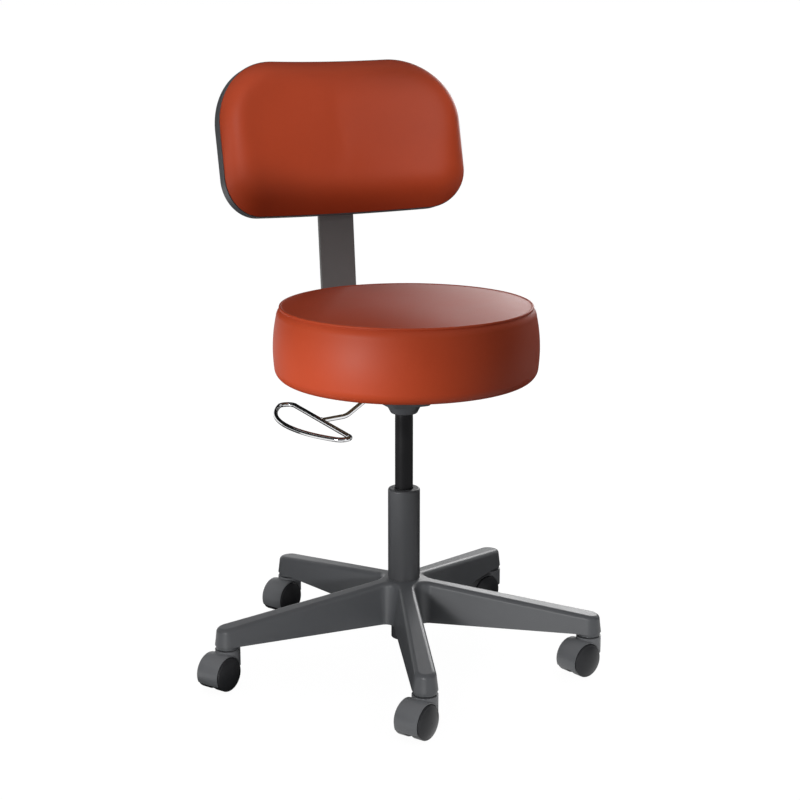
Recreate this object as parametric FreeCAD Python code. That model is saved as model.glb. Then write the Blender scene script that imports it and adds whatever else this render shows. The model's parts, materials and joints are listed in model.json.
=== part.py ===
import FreeCAD, Part
import math
import os
from FreeCAD import Matrix, Placement, Rotation, Vector

# Height-adjustable stool with a backrest on a flat upright, for a clinic or a laboratory.
# Millimetres. The origin is on the floor, under the column. +Z is up, the sitter faces -Y,
# the backrest stands at +Y and the release lever is on the sitter's right, at -X.

# Clearances and small allowances
RUN_CLEAR = 0.05        # radial clearance of a turning or sliding fit
SEAT_CLEAR = 0.02       # radial clearance of a fit that doesn't move
SOFT_CLEAR = 0.3        # room between a cushion and what it rests on
SIDE_CLEAR = 0.5        # side play of a piece between two cheeks
BREAK = 0.8             # broken edge on turned and sawn pieces
OVERCUT = 1.0           # how far a cutter reaches past the face that it opens

# Five-legged base
LEG_COUNT = 5
STEM_CIRCLE = 292.9     # radius of the circle that the caster stems stand on
FIRST_LEG = -109.45     # direction of the first leg, in degrees from +X
LEG_BOTTOM = 64.2       # height of the legs' lower rim
LEG_TIP = 19.2          # radius of the round leg end, at the lower rim
LEG_FLARE = 0.2         # degrees by which each side opens towards the hub
LEG_DRAFT = 7.0         # degrees by which the sides lean in towards the top
LEG_WALL = 4.0
LEG_ROOF = 5.0          # thickness of the top wall
LEG_EDGE = 7.0          # rounding between the top and the sides
NOOK = 14.0             # rounding in the nook between two legs, at the lower rim
HUB_TOP = 130.7         # height of the hub's top beside the column
ROOF_FALL = 8.0         # degrees by which the legs fall towards their ends
HUB_RADIUS = 33.0       # radius of the tube inside the hub
NECK_RADIUS = 17.8      # round neck under each leg end
NECK_LENGTH = 4.8
RIB = 3.0               # thickness of the ribs under the legs
RIB_PLACES = (90.0, 145.0, 200.0, 250.0)
RIB_RAISE = 6.0         # the ribs end this far above the lower rim

# Casters
WHEEL_RADIUS = 26.0
WHEEL_INNER = 4.2       # from the caster's middle plane to a wheel's inner face
WHEEL_OUTER = 22.3      # from the middle plane to the edge of the tread
WHEEL_DOME = 4.5        # rise of the domed outer face
WHEEL_EDGE = 2.5        # rounding of the tread's edges
AXLE_RADIUS = 3.0
TRAIL = 21.5            # distance from the stem to the wheel axle
HOOD_GAP = 0.9          # room between the wheel and the hood
HOOD_WALL = 2.2         # thickness of the hood in its middle
HOOD_RIM = 1.0          # thickness of the hood at its two rims
HOOD_HALF = 19.5        # half of the hood's width
HOOD_TILT = 20.0        # degrees by which the hood's lower edge is turned
HOOD_DROP = 2.5         # the hood's lower edge passes this far under the axle
WEB_HALF = 3.2          # half of the web between the wheels
WEB_RADIUS = 19.0
BOSS_RADIUS = 19.2
BOSS_BOTTOM = 31.0
STEM_RADIUS = 5.5
STEM_JOURNAL = 8.0      # length of the stem inside the caster
STEM_LENGTH = 23.0      # length of the stem inside the leg
STEM_FLANGE = 9.0       # radius of the flange between the neck and the caster
CASTER_GAP = 2.1        # room between the neck and the caster's boss
SOCKET_WALL = 2.0       # wall of the steel sleeve that holds the stem
CASTER_TURNS = (29.8, 14.6, 13.0, 28.5, 30.0)  # degrees that each caster has swivelled

# Gas lift
COLUMN_RADIUS = 25.0
COLUMN_TOP = 276.8
COLUMN_BORE = 20.5
COLUMN_TAPER = 0.025    # fall of the radius for each unit of length
COLUMN_LIP = 5.0        # thickness of the rolled-in top
COLUMN_EDGE = 3.2       # rounding of the top edge
LIP_CLEAR = 1.0         # room round the pressure tube in the rolled-in top
FOOT_BOTTOM = 31.7      # underside of the column's foot
FOOT_TOP = 54.2         # floor inside the column, which carries the bearing
FOOT_RADIUS = 20.0
FOOT_HOLE = 6.5
BUSH_LENGTH = 76.0
TUBE_RADIUS = 14.0      # pressure tube, which carries the seat
TUBE_BORE = 12.0
TUBE_INSIDE = 94.6      # length of the pressure tube inside the column
TUBE_TAPER_LENGTH = 44.0
VALVE_LENGTH = 23.0     # solid head of the pressure tube, which holds the valve
SEAL_LENGTH = 15.0
ROD_RADIUS = 5.0
ROD_NECK = 4.5          # radius of the rod below its shoulder
ROD_WAIST = 3.5         # radius of the rod in the clip's groove and inside the piston
ROD_TAIL = 5.0          # length of the rod below the column's foot
PISTON_RISE = 46.0      # height of the piston over the pressure tube's lower end
PISTON_LENGTH = 18.0
RACE_THICK = 2.5
RACE_RADIUS = 15.0
BALL_RADIUS = 2.0
BALL_COUNT = 10
BALL_CIRCLE = 10.5
CAGE_THICK = 1.6
CAGE_WIDTH = 6.6
STOP_LENGTH = 11.0      # rubber bump stop
STOP_RADIUS = 11.0
CLIP_THICK = 1.2
CLIP_RADIUS = 8.5
CLIP_MOUTH = 5.0        # width of the clip's opening
PIN_RADIUS = 3.0        # valve pin
PIN_PROUD = 4.8         # height of the pin above the pressure tube
PIN_INSIDE = 20.0       # length of the pin inside the pressure tube

# Seat
SEAT_BOTTOM = 455.2
SEAT_FORWARD = 8.0      # the seat's middle stands this far in front of the column
SEAT_RADIUS = 203.9     # where the side bulges most
SEAT_WAIST = 1.4        # how far the side draws in down to its lower edge
SEAT_HEIGHT = 112.0     # from the underside to the sewn seam
SEAM_RADIUS = 191.8
SEAM_BEAD = 1.6         # radius of the sewn bead along the seam
SEAM_GROOVE = 0.6       # depth of the groove under the bead
SEAT_CROWN = 9.0        # rise of the top over the seam
SEAT_TUCK = 19.5        # rounding of the lower edge
BULGE_HEIGHT = 55.0     # height of the widest place over the underside
SHOULDER_DROP = 15.0    # how far the side's bulge ends under the seam
SHOULDER_OUT = 5.8      # the side stands out this far over the seam there
SHOULDER_FULL = 3.6     # and this far half-way up to the seam
BOARD_RADIUS = 178.0
BOARD_THICK = 12.0

# Plate under the seat
PLATE_THICK = 3.0
PLATE_HALF_X = 76.0
PLATE_FRONT = -82.0
PLATE_REAR = 114.0
PLATE_CORNER = 12.0
PAN_HALF_X = 52.0       # pressed pan, at the plate
PAN_HALF_Y = 52.0
PAN_DEPTH = 40.0        # from the plate's underside to the pan's floor, outside
PAN_SLOPE = 18.0        # how much narrower each side is at the pan's floor
PAN_CORNER = 14.0
HUB_REACH = 14.5        # length of the tapered hub below the pan
HUB_LIP = 21.0          # outer radius of the hub at its lower end
HUB_SKIRT = 28.0        # outer radius of the hub at the pan's floor
HUB_HEAD = 20.0         # outer radius of the hub inside the pan
HUB_HEIGHT = 36.5
TUBE_SUNK = 2.0         # the pressure tube ends this far under the hub's top
BOLT_RADIUS = 3.0
BOLT_HEAD = 5.8         # across the corners, as a radius
BOLT_HEAD_HEIGHT = 4.0
BOLT_HALF_X = 65.0
BOLT_HALF_Y = 62.0
NUT_BARREL = 4.2
NUT_FLANGE = 9.0
NUT_FLANGE_THICK = 1.4
HOLE_CLEAR = 0.3        # radial room of a bolt in its hole

# Flat upright of the backrest
BAR_WIDTH = 60.5
BAR_THICK = 7.0
BAR_START = 64.0        # where the bar begins, behind the column
BAR_SETBACK = 242.6     # where the upright's middle line meets the level part
BAR_BEND = 38.0
BAR_LEAN = 5.3          # degrees from the vertical
BAR_KINK_HEIGHT = 675.2 # where the bar bends back to follow the backrest
BAR_KINK_BEND = 60.0
BAR_TOP = 88.0          # length of the bar above the backrest's middle
BAR_CORNER = 9.0
BAR_BOLT_INSET = 14.0   # from the bar's end to its first bolt
BAR_BOLT_PITCH = 26.0

# Release lever
WIRE_RADIUS = 3.7
LOOP_DROP = 52.8        # depth of the hand loop below the plate
LOOP_BAR_X = -138.3     # straight side of the hand loop
LOOP_BOW = 197.7        # radius of the loop's bow about the column
LOOP_CORNER = 13.0
ROD_RISE_X = -97.0      # where the lever rod turns up towards the seat
ROD_RISE_DROP = 50.0    # depth of that bend below the plate
ROD_BEND = 24.0
PIVOT_X = -31.0
PIVOT_DROP = 12.0       # depth of the pivot below the plate
PIVOT_RADIUS = 2.5
PIVOT_END = 1.5         # the pivot pin stands out this far past the ears
BLADE_HALF = 5.0        # half thickness of the flat inner end
BLADE_LOW = 3.0         # depth of the blade below the pivot
BLADE_HIGH = 5.0
BLADE_TIP = 5.0         # length of the blade past the column's axis
BLADE_TAIL = 9.0        # length of the blade outside the pivot
EAR_THICK = 3.0
EAR_HALF = 7.0          # half width of the ears that hold the pivot
LEVER_SLOT_HALF = 8.0   # half width of the slot in the pan's wall

# Backrest
BACK_WIDTH = 417.5
BACK_HEIGHT = 247.8
BACK_TOP_CORNER = 109.9
BACK_LOW_CORNER = 60.5
BACK_CURVE = 620.0      # radius of the back's outside in plan
BACK_LEAN = 14.0        # degrees from the vertical
BACK_RISE = 118.5       # from the bar's kink up to the backrest's middle
SHELL_DEPTH = 22.0
SHELL_WALL = 3.6
SHELL_EDGE = 6.0        # rounding of the shell's rear edge
PAD_INSET = 1.0         # the cushion stands in from the shell's rim by this much
PAD_DEPTH = 25.0        # cushion's thickness at its top and bottom
PAD_CROWN = 5.0         # how much thicker it is in the middle
PAD_EDGE = 21.0         # rounding of the cushion's front edge
PAD_TUCK = 1.5          # rounding where the cover is drawn in to the shell
SLEEVE_FRONT = 4.5      # wall between the bar and the shell
SLEEVE_SIDE = 7.0
SLEEVE_REAR = 6.0
SLEEVE_HEIGHT = 92.0
SLIDE_CLEAR = 0.3
FLANGE_HALF_X = 62.0
FLANGE_HALF_Z = 32.0
FLANGE_THICK = 5.0
SCREW_RADIUS = 2.1
SCREW_HEAD = 4.5
SCREW_HEAD_HEIGHT = 2.6
SCREW_HALF_X = 52.0
SCREW_HALF_Z = 20.0
SCREW_BITE = 8.0        # depth of the screws in the inner board
STUD_RADIUS = 4.0
STUD_INSIDE = 12.0      # length of the stud inside the knob
KNOB_BOSS = 9.0
KNOB_BOSS_LENGTH = 8.0
KNOB_GAP = 1.0          # room between the boss and the knob
KNOB_RADIUS = 20.0
KNOB_THICK = 18.0
KNOB_LOBES = 6
KNOB_FLUTE = 6.0

# Heights and places that follow from the sizes above
NECK_BOTTOM = LEG_BOTTOM - NECK_LENGTH
BOSS_TOP = NECK_BOTTOM - CASTER_GAP
TUBE_BOTTOM = COLUMN_TOP - TUBE_INSIDE
PISTON_BOTTOM = TUBE_BOTTOM + PISTON_RISE
PLATE_BOTTOM = SEAT_BOTTOM - PLATE_THICK
PAN_FLOOR = PLATE_BOTTOM - PAN_DEPTH
HUB_BOTTOM = PAN_FLOOR - HUB_REACH
TUBE_TOP = HUB_BOTTOM + HUB_HEIGHT - TUBE_SUNK
LOOP_HEIGHT = PLATE_BOTTOM - LOOP_DROP
ROD_RISE_HEIGHT = PLATE_BOTTOM - ROD_RISE_DROP
PIVOT_HEIGHT = PLATE_BOTTOM - PIVOT_DROP
SEAM_HEIGHT = SEAT_BOTTOM + SEAT_HEIGHT
BOARD_TOP = SEAT_BOTTOM + BOARD_THICK
BAR_LEVEL = PLATE_BOTTOM - BAR_THICK / 2
AXIS_Z = Vector(0, 0, 1)
ORIGIN = Vector(0, 0, 0)
SEAT_MIDDLE = Vector(0, -SEAT_FORWARD, 0)


def save(name, *solids):
    """Write one named piece, or a group of alike pieces, and say its volume."""
    shape = solids[0] if len(solids) == 1 else Part.makeCompound(list(solids))
    shape.exportStep(os.path.join("parts", name + ".step"))
    sound = all(s.isValid() for s in shape.Solids)
    print(f"{name}: {len(shape.Solids)} solid(s), {shape.Volume / 1000:.2f} cm3, valid {sound}")


def polar(radius, degrees, z=0.0):
    turn = math.radians(degrees)
    return Vector(radius * math.cos(turn), radius * math.sin(turn), z)


def outline(start, *steps):
    """Closed wire. A step is a point for a line, or a pair (through, end) for an arc."""
    edges = []
    here = start
    for step in steps:
        if isinstance(step, tuple):
            edges.append(Part.Arc(here, step[0], step[1]).toShape())
            here = step[1]
        else:
            edges.append(Part.makeLine(here, step))
            here = step
    edges.append(Part.makeLine(here, start))
    return Part.Wire(edges)


def turned(wire, centre=ORIGIN, axis=AXIS_Z):
    return Part.Face(wire).revolve(centre, axis, 360)


def rz(radius, height):
    return Vector(radius, 0, height)


def dome(radius, low, rise):
    """Arc of a round cap from its rim to its top on the axis, as a step for an outline."""
    sphere = (radius ** 2 + rise ** 2) / (2 * rise)
    sink = sphere - math.sqrt(sphere ** 2 - (radius / 2) ** 2)
    return (rz(radius / 2, low + rise - sink), rz(0, low + rise))


def bar(radius, low, high, at=ORIGIN):
    """Upright cylinder between two heights."""
    return Part.makeCylinder(radius, high - low, Vector(at.x, at.y, low))


def ring(outer, inner, low, high, at=ORIGIN):
    return bar(outer, low, high, at).cut(bar(inner, low, high, at))


def lying(radius, x, z, low, high):
    """Cylinder along Y between two places."""
    return Part.makeCylinder(radius, high - low, Vector(x, low, z), Vector(0, 1, 0))


def block(low_x, high_x, low_y, high_y, low_z, high_z):
    corner = Vector(low_x, low_y, low_z)
    return Part.makeBox(high_x - low_x, high_y - low_y, high_z - low_z, corner)


def rounded_box_wire(half_x, half_y, corner, z, middle_y=0.0):
    """Rectangle with round corners, level at height z."""
    mid = corner * (1 - math.sqrt(0.5))
    low_y = middle_y - half_y
    high_y = middle_y + half_y

    def p(x, y):
        return Vector(x, y, z)

    return Part.Wire([
        Part.makeLine(p(-half_x + corner, low_y), p(half_x - corner, low_y)),
        Part.Arc(p(half_x - corner, low_y), p(half_x - mid, low_y + mid),
                 p(half_x, low_y + corner)).toShape(),
        Part.makeLine(p(half_x, low_y + corner), p(half_x, high_y - corner)),
        Part.Arc(p(half_x, high_y - corner), p(half_x - mid, high_y - mid),
                 p(half_x - corner, high_y)).toShape(),
        Part.makeLine(p(half_x - corner, high_y), p(-half_x + corner, high_y)),
        Part.Arc(p(-half_x + corner, high_y), p(-half_x + mid, high_y - mid),
                 p(-half_x, high_y - corner)).toShape(),
        Part.makeLine(p(-half_x, high_y - corner), p(-half_x, low_y + corner)),
        Part.Arc(p(-half_x, low_y + corner), p(-half_x + mid, low_y + mid),
                 p(-half_x + corner, low_y)).toShape(),
    ])


def rounded_path(points, bend):
    """Open wire of straight runs, joined by arcs of one radius."""
    edges = []
    here = points[0]
    for corner, after in zip(points[1:-1], points[2:]):
        back = (here - corner).normalize()
        ahead = (after - corner).normalize()
        half = back.getAngle(ahead) / 2
        reach = bend / math.tan(half)
        bisector = (back + ahead).normalize()
        near = corner + back * reach
        far = corner + ahead * reach
        middle = corner + bisector * (bend / math.sin(half) - bend)
        edges.append(Part.makeLine(here, near))
        edges.append(Part.Arc(near, middle, far).toShape())
        here = far
    edges.append(Part.makeLine(here, points[-1]))
    return Part.Wire(edges)


def round_bar(path, radius):
    """Round wire bent along a path."""
    first = path.OrderedEdges[0]
    start = first.valueAt(first.FirstParameter)
    direction = first.tangentAt(first.FirstParameter)
    section = Part.Wire([Part.makeCircle(radius, start, direction)])
    return path.makePipeShell([section], True, False)


def hexagon(radius, low, high, at):
    corners = [polar(radius, 60 * k, low) + Vector(at.x, at.y, 0) for k in range(7)]
    return Part.Face(Part.makePolygon(corners)).extrude(Vector(0, 0, high - low))


# Five-legged base

def leg_angle(k):
    return FIRST_LEG + 360.0 / LEG_COUNT * k


def stem_place(k):
    return polar(STEM_CIRCLE, leg_angle(k))


def star_wire(shrink, z):
    """Plan of the five legs at height z, drawn in all round by shrink."""
    flare = math.radians(LEG_FLARE)
    half_turn = 180.0 / LEG_COUNT
    tip = LEG_TIP - shrink
    nook = NOOK + shrink
    reach = STEM_CIRCLE * math.sin(flare) + tip
    nook_at = (reach + nook) / math.sin(math.radians(half_turn) + flare)
    edges = []
    for k in range(LEG_COUNT):
        turn = Rotation(AXIS_Z, leg_angle(k))

        def p(along, across):
            return turn.multVec(Vector(along, across, 0)) + Vector(0, 0, z)

        centre = polar(nook_at, half_turn)
        root = (centre.x - nook * math.sin(flare), centre.y - nook * math.cos(flare))
        end = (STEM_CIRCLE + tip * math.sin(flare), tip * math.cos(flare))
        peak = p(STEM_CIRCLE + tip, 0)
        slant = tip * math.sqrt(0.5)
        nook_mid = polar(nook_at - nook, half_turn)
        next_turn = Rotation(AXIS_Z, leg_angle(k + 1))
        next_root = next_turn.multVec(Vector(root[0], -root[1], 0)) + Vector(0, 0, z)
        edges.append(Part.makeLine(p(root[0], -root[1]), p(end[0], -end[1])))
        edges.append(Part.Arc(p(end[0], -end[1]), p(STEM_CIRCLE + slant, -slant), peak).toShape())
        edges.append(Part.Arc(peak, p(STEM_CIRCLE + slant, slant), p(end[0], end[1])).toShape())
        edges.append(Part.makeLine(p(end[0], end[1]), p(root[0], root[1])))
        edges.append(Part.Arc(p(root[0], root[1]), p(nook_mid.x, nook_mid.y), next_root).toShape())
    return Part.Wire(edges)


def roof_height(radius):
    return HUB_TOP - (radius - COLUMN_RADIUS) * math.tan(math.radians(ROOF_FALL))


def under_roof(drop, low):
    """Everything between a low level and the sloping roof, lowered by drop."""
    reach = STEM_CIRCLE + 2 * LEG_TIP
    flat = COLUMN_RADIUS / 2
    return turned(outline(
        rz(0, low), rz(reach, low), rz(reach, roof_height(reach) - drop),
        rz(flat, roof_height(flat) - drop), rz(0, roof_height(flat) - drop)))


def star_body(shrink, low, drop):
    """Solid star under the roof, with drafted sides."""
    high = roof_height(0) + OVERCUT
    lean = math.tan(math.radians(LEG_DRAFT))
    lower = star_wire(shrink + (low - LEG_BOTTOM) * lean, low)
    upper = star_wire(shrink + (high - LEG_BOTTOM) * lean, high)
    return Part.makeLoft([lower, upper], True, True).common(under_roof(drop, low - OVERCUT))


def base_star():
    body = star_body(0, LEG_BOTTOM, 0)
    roof = max((f for f in body.Faces if isinstance(f.Surface, Part.Cone)),
               key=lambda f: f.BoundBox.DiagonalLength)
    outside = body.makeFillet(LEG_EDGE, roof.OuterWire.Edges)
    shell = outside.cut(star_body(LEG_WALL, LEG_BOTTOM - OVERCUT, LEG_ROOF))
    stiffeners = [bar(HUB_RADIUS, LEG_BOTTOM, HUB_TOP)]
    rib_top = roof_height(0)
    for k in range(LEG_COUNT):
        turn = Rotation(AXIS_Z, leg_angle(k))
        ribs = [block(HUB_RADIUS, STEM_CIRCLE, -RIB / 2, RIB / 2, LEG_BOTTOM + RIB_RAISE, rib_top)]
        for place in RIB_PLACES:
            ribs.append(block(place - RIB / 2, place + RIB / 2, -2 * LEG_TIP, 2 * LEG_TIP,
                              LEG_BOTTOM + RIB_RAISE, rib_top))
        for rib in ribs:
            rib.Placement = Placement(ORIGIN, turn)
            stiffeners.append(rib)
        socket = STEM_RADIUS + SOCKET_WALL + LEG_WALL
        stiffeners.append(bar(socket, LEG_BOTTOM, rib_top, stem_place(k)))
        stiffeners.append(bar(NECK_RADIUS - LEG_WALL / 2, LEG_BOTTOM, LEG_BOTTOM + LEG_WALL, stem_place(k)))
    inside = stiffeners[0].multiFuse(stiffeners[1:]).common(outside)
    necks = [bar(NECK_RADIUS, NECK_BOTTOM, LEG_BOTTOM, stem_place(k)) for k in range(LEG_COUNT)]
    star = shell.multiFuse([inside] + necks).removeSplitter()
    sockets = [bar(STEM_RADIUS + SOCKET_WALL + SEAT_CLEAR, NECK_BOTTOM - OVERCUT,
                   NECK_BOTTOM + STEM_LENGTH, stem_place(k)) for k in range(LEG_COUNT)]
    return star.cut(column_taper(SEAT_CLEAR).multiFuse(sockets))


# Gas lift

def taper_radius(height):
    """Radius of the column's taper inside the hub."""
    return COLUMN_RADIUS - (HUB_TOP - height) * COLUMN_TAPER


def column_taper(clear):
    """The room that the column's taper takes up in the hub."""
    low = FOOT_TOP - OVERCUT
    high = HUB_TOP + LEG_EDGE
    return turned(outline(
        rz(0, low), rz(taper_radius(low) + clear, low), rz(COLUMN_RADIUS + clear, HUB_TOP),
        rz(COLUMN_RADIUS + clear, high), rz(0, high)))


def stand_tube():
    lip = TUBE_RADIUS + LIP_CLEAR
    curve = COLUMN_EDGE * (1 - math.sqrt(0.5))
    wire = outline(
        rz(FOOT_HOLE, FOOT_BOTTOM), rz(FOOT_RADIUS - BREAK, FOOT_BOTTOM),
        rz(FOOT_RADIUS, FOOT_BOTTOM + BREAK), rz(FOOT_RADIUS, FOOT_TOP),
        rz(taper_radius(FOOT_TOP), FOOT_TOP), rz(COLUMN_RADIUS, HUB_TOP),
        rz(COLUMN_RADIUS, COLUMN_TOP - COLUMN_EDGE),
        (rz(COLUMN_RADIUS - curve, COLUMN_TOP - curve), rz(COLUMN_RADIUS - COLUMN_EDGE, COLUMN_TOP)),
        rz(lip, COLUMN_TOP), rz(lip, COLUMN_TOP - COLUMN_LIP), rz(COLUMN_BORE, COLUMN_TOP - COLUMN_LIP),
        rz(COLUMN_BORE, FOOT_TOP), rz(FOOT_HOLE, FOOT_TOP))
    return turned(wire)


def guide_bush():
    high = COLUMN_TOP - COLUMN_LIP
    return ring(COLUMN_BORE - SEAT_CLEAR, TUBE_RADIUS + RUN_CLEAR, high - BUSH_LENGTH, high)


CAGE_MIDDLE = FOOT_TOP + RACE_THICK + RUN_CLEAR + BALL_RADIUS
UPPER_RACE = CAGE_MIDDLE + BALL_RADIUS + RUN_CLEAR
SHOULDER = UPPER_RACE + RACE_THICK


def ball_places():
    return [polar(BALL_CIRCLE, 360.0 / BALL_COUNT * k, CAGE_MIDDLE) for k in range(BALL_COUNT)]


def bearing_balls():
    return [Part.makeSphere(BALL_RADIUS, place) for place in ball_places()]


def ball_cage():
    low = CAGE_MIDDLE - CAGE_THICK / 2
    cage = ring(BALL_CIRCLE + CAGE_WIDTH / 2, BALL_CIRCLE - CAGE_WIDTH / 2, low, low + CAGE_THICK)
    pockets = [bar(BALL_RADIUS + RUN_CLEAR, low, low + CAGE_THICK, place) for place in ball_places()]
    return cage.cut(pockets[0].multiFuse(pockets[1:]))


def lower_race():
    return ring(RACE_RADIUS, FOOT_HOLE, FOOT_TOP, FOOT_TOP + RACE_THICK)


def upper_race():
    return ring(RACE_RADIUS, ROD_NECK + SEAT_CLEAR, UPPER_RACE, SHOULDER)


def piston_rod():
    """Rod that stands on the bearing by its shoulder, with the piston's seat at its top."""
    foot = FOOT_BOTTOM - ROD_TAIL
    groove = FOOT_BOTTOM - RUN_CLEAR
    top = PISTON_BOTTOM + PISTON_LENGTH
    return turned(outline(
        rz(0, foot), rz(ROD_NECK, foot), rz(ROD_NECK, groove - CLIP_THICK),
        rz(ROD_WAIST, groove - CLIP_THICK), rz(ROD_WAIST, groove), rz(ROD_NECK, groove),
        rz(ROD_NECK, SHOULDER), rz(ROD_RADIUS, SHOULDER), rz(ROD_RADIUS, PISTON_BOTTOM),
        rz(ROD_WAIST, PISTON_BOTTOM), rz(ROD_WAIST, top), rz(0, top)))


def rod_clip():
    """Open spring clip in the rod's groove, under the column's foot."""
    high = FOOT_BOTTOM - RUN_CLEAR
    clip = ring(CLIP_RADIUS, ROD_WAIST + SEAT_CLEAR, high - CLIP_THICK, high)
    mouth = CLIP_MOUTH / 2
    return clip.cut(block(0, 2 * CLIP_RADIUS, -mouth, mouth, high - CLIP_THICK, high))


def bump_stop():
    stop = ring(STOP_RADIUS, ROD_RADIUS + SEAT_CLEAR, SHOULDER, SHOULDER + STOP_LENGTH)
    return stop.makeChamfer(BREAK, [e for e in stop.Edges if e.Closed and e.Length > 6 * STOP_RADIUS])


def piston_head():
    return ring(TUBE_BORE - RUN_CLEAR, ROD_WAIST + SEAT_CLEAR, PISTON_BOTTOM,
                PISTON_BOTTOM + PISTON_LENGTH)


def tube_radius(height):
    """Radius of the pressure tube's tapered head."""
    start = TUBE_TOP - TUBE_TAPER_LENGTH
    return TUBE_RADIUS - max(0.0, height - start) * COLUMN_TAPER


def pressure_tube():
    bore_top = TUBE_TOP - VALVE_LENGTH
    hole = PIN_RADIUS + RUN_CLEAR
    return turned(outline(
        rz(TUBE_BORE, TUBE_BOTTOM), rz(TUBE_RADIUS, TUBE_BOTTOM),
        rz(TUBE_RADIUS, TUBE_TOP - TUBE_TAPER_LENGTH), rz(tube_radius(TUBE_TOP), TUBE_TOP),
        rz(hole, TUBE_TOP), rz(hole, bore_top), rz(TUBE_BORE, bore_top)))


def rod_seal():
    return ring(TUBE_BORE - SEAT_CLEAR, ROD_RADIUS + RUN_CLEAR, TUBE_BOTTOM, TUBE_BOTTOM + SEAL_LENGTH)


def valve_pin():
    top = TUBE_TOP + PIN_PROUD
    bend = PIN_RADIUS * math.sqrt(0.5)
    centre = top - PIN_RADIUS
    foot = TUBE_TOP - PIN_INSIDE
    return turned(outline(
        rz(0, foot), rz(PIN_RADIUS, foot), rz(PIN_RADIUS, centre),
        (rz(bend, centre + bend), rz(0, top))))


# Seat

def seat_cushion():
    """Round padded seat: drawn-in lower edge, bulging side, sewn bead and a crowned top."""
    low = SEAT_BOTTOM + SOFT_CLEAR
    pocket = BOARD_RADIUS + SOFT_CLEAR
    tuck = SEAT_TUCK * (1 - math.sqrt(0.5))
    waist = SEAT_RADIUS - SEAT_WAIST
    shoulder = rz(SEAM_RADIUS + SHOULDER_OUT, SEAM_HEIGHT - SHOULDER_DROP)
    groove = rz(SEAM_RADIUS - SEAM_GROOVE, SEAM_HEIGHT - 2 * SEAM_BEAD)
    bead_end = rz(SEAM_RADIUS - 2 * SEAM_BEAD, SEAM_HEIGHT)
    cushion = turned(outline(
        rz(pocket, low), rz(waist - SEAT_TUCK, low),
        (rz(waist - tuck, low + tuck), rz(waist, low + SEAT_TUCK)),
        (rz(SEAT_RADIUS, SEAT_BOTTOM + BULGE_HEIGHT), shoulder),
        (rz(SEAM_RADIUS + SHOULDER_FULL, SEAM_HEIGHT - SHOULDER_DROP / 2), groove),
        (rz(SEAM_RADIUS + SEAM_BEAD, SEAM_HEIGHT - SEAM_BEAD), bead_end),
        dome(bead_end.x, bead_end.z, SEAT_CROWN),
        rz(0, BOARD_TOP + SOFT_CLEAR), rz(pocket, BOARD_TOP + SOFT_CLEAR)))
    cushion.translate(SEAT_MIDDLE)
    return cushion


def seat_bolt_places():
    return [Vector(x, y, 0) for x in (-BOLT_HALF_X, BOLT_HALF_X) for y in (-BOLT_HALF_Y, BOLT_HALF_Y)]


def bar_bolt_places():
    first = BAR_START + BAR_BOLT_INSET
    return [Vector(0, first, 0), Vector(0, first + BAR_BOLT_PITCH, 0)]


def hex_bolt(place, under_head):
    """Bolt with its head down, up to the top of the seat board."""
    head = hexagon(BOLT_HEAD, under_head - BOLT_HEAD_HEIGHT, under_head, place)
    return head.fuse(bar(BOLT_RADIUS, under_head, BOARD_TOP, place)).removeSplitter()


def tee_nut(place):
    collar = BOARD_TOP - NUT_FLANGE_THICK
    nut = bar(NUT_BARREL, SEAT_BOTTOM + BREAK, BOARD_TOP, place)
    nut = nut.fuse(bar(NUT_FLANGE, collar, BOARD_TOP, place)).removeSplitter()
    return nut.cut(bar(BOLT_RADIUS + SEAT_CLEAR, SEAT_BOTTOM, BOARD_TOP, place))


def seat_board():
    board = bar(BOARD_RADIUS, SEAT_BOTTOM, BOARD_TOP, SEAT_MIDDLE)
    cuts = []
    for place in seat_bolt_places() + bar_bolt_places():
        cuts.append(bar(NUT_BARREL + SEAT_CLEAR, SEAT_BOTTOM, BOARD_TOP, place))
        collar = BOARD_TOP - NUT_FLANGE_THICK
        cuts.append(bar(NUT_FLANGE + SEAT_CLEAR, collar, BOARD_TOP, place))
    return board.cut(cuts[0].multiFuse(cuts[1:]))


def pan(inset, low, high):
    """Pressed pan as a solid, drawn in all round by inset."""
    def wire(z):
        narrow = PAN_SLOPE * (PLATE_BOTTOM - z) / PAN_DEPTH + inset
        corner = PAN_CORNER - inset
        return rounded_box_wire(PAN_HALF_X - narrow, PAN_HALF_Y - narrow, corner, z)

    return Part.makeLoft([wire(low), wire(high)], True, True)


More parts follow.
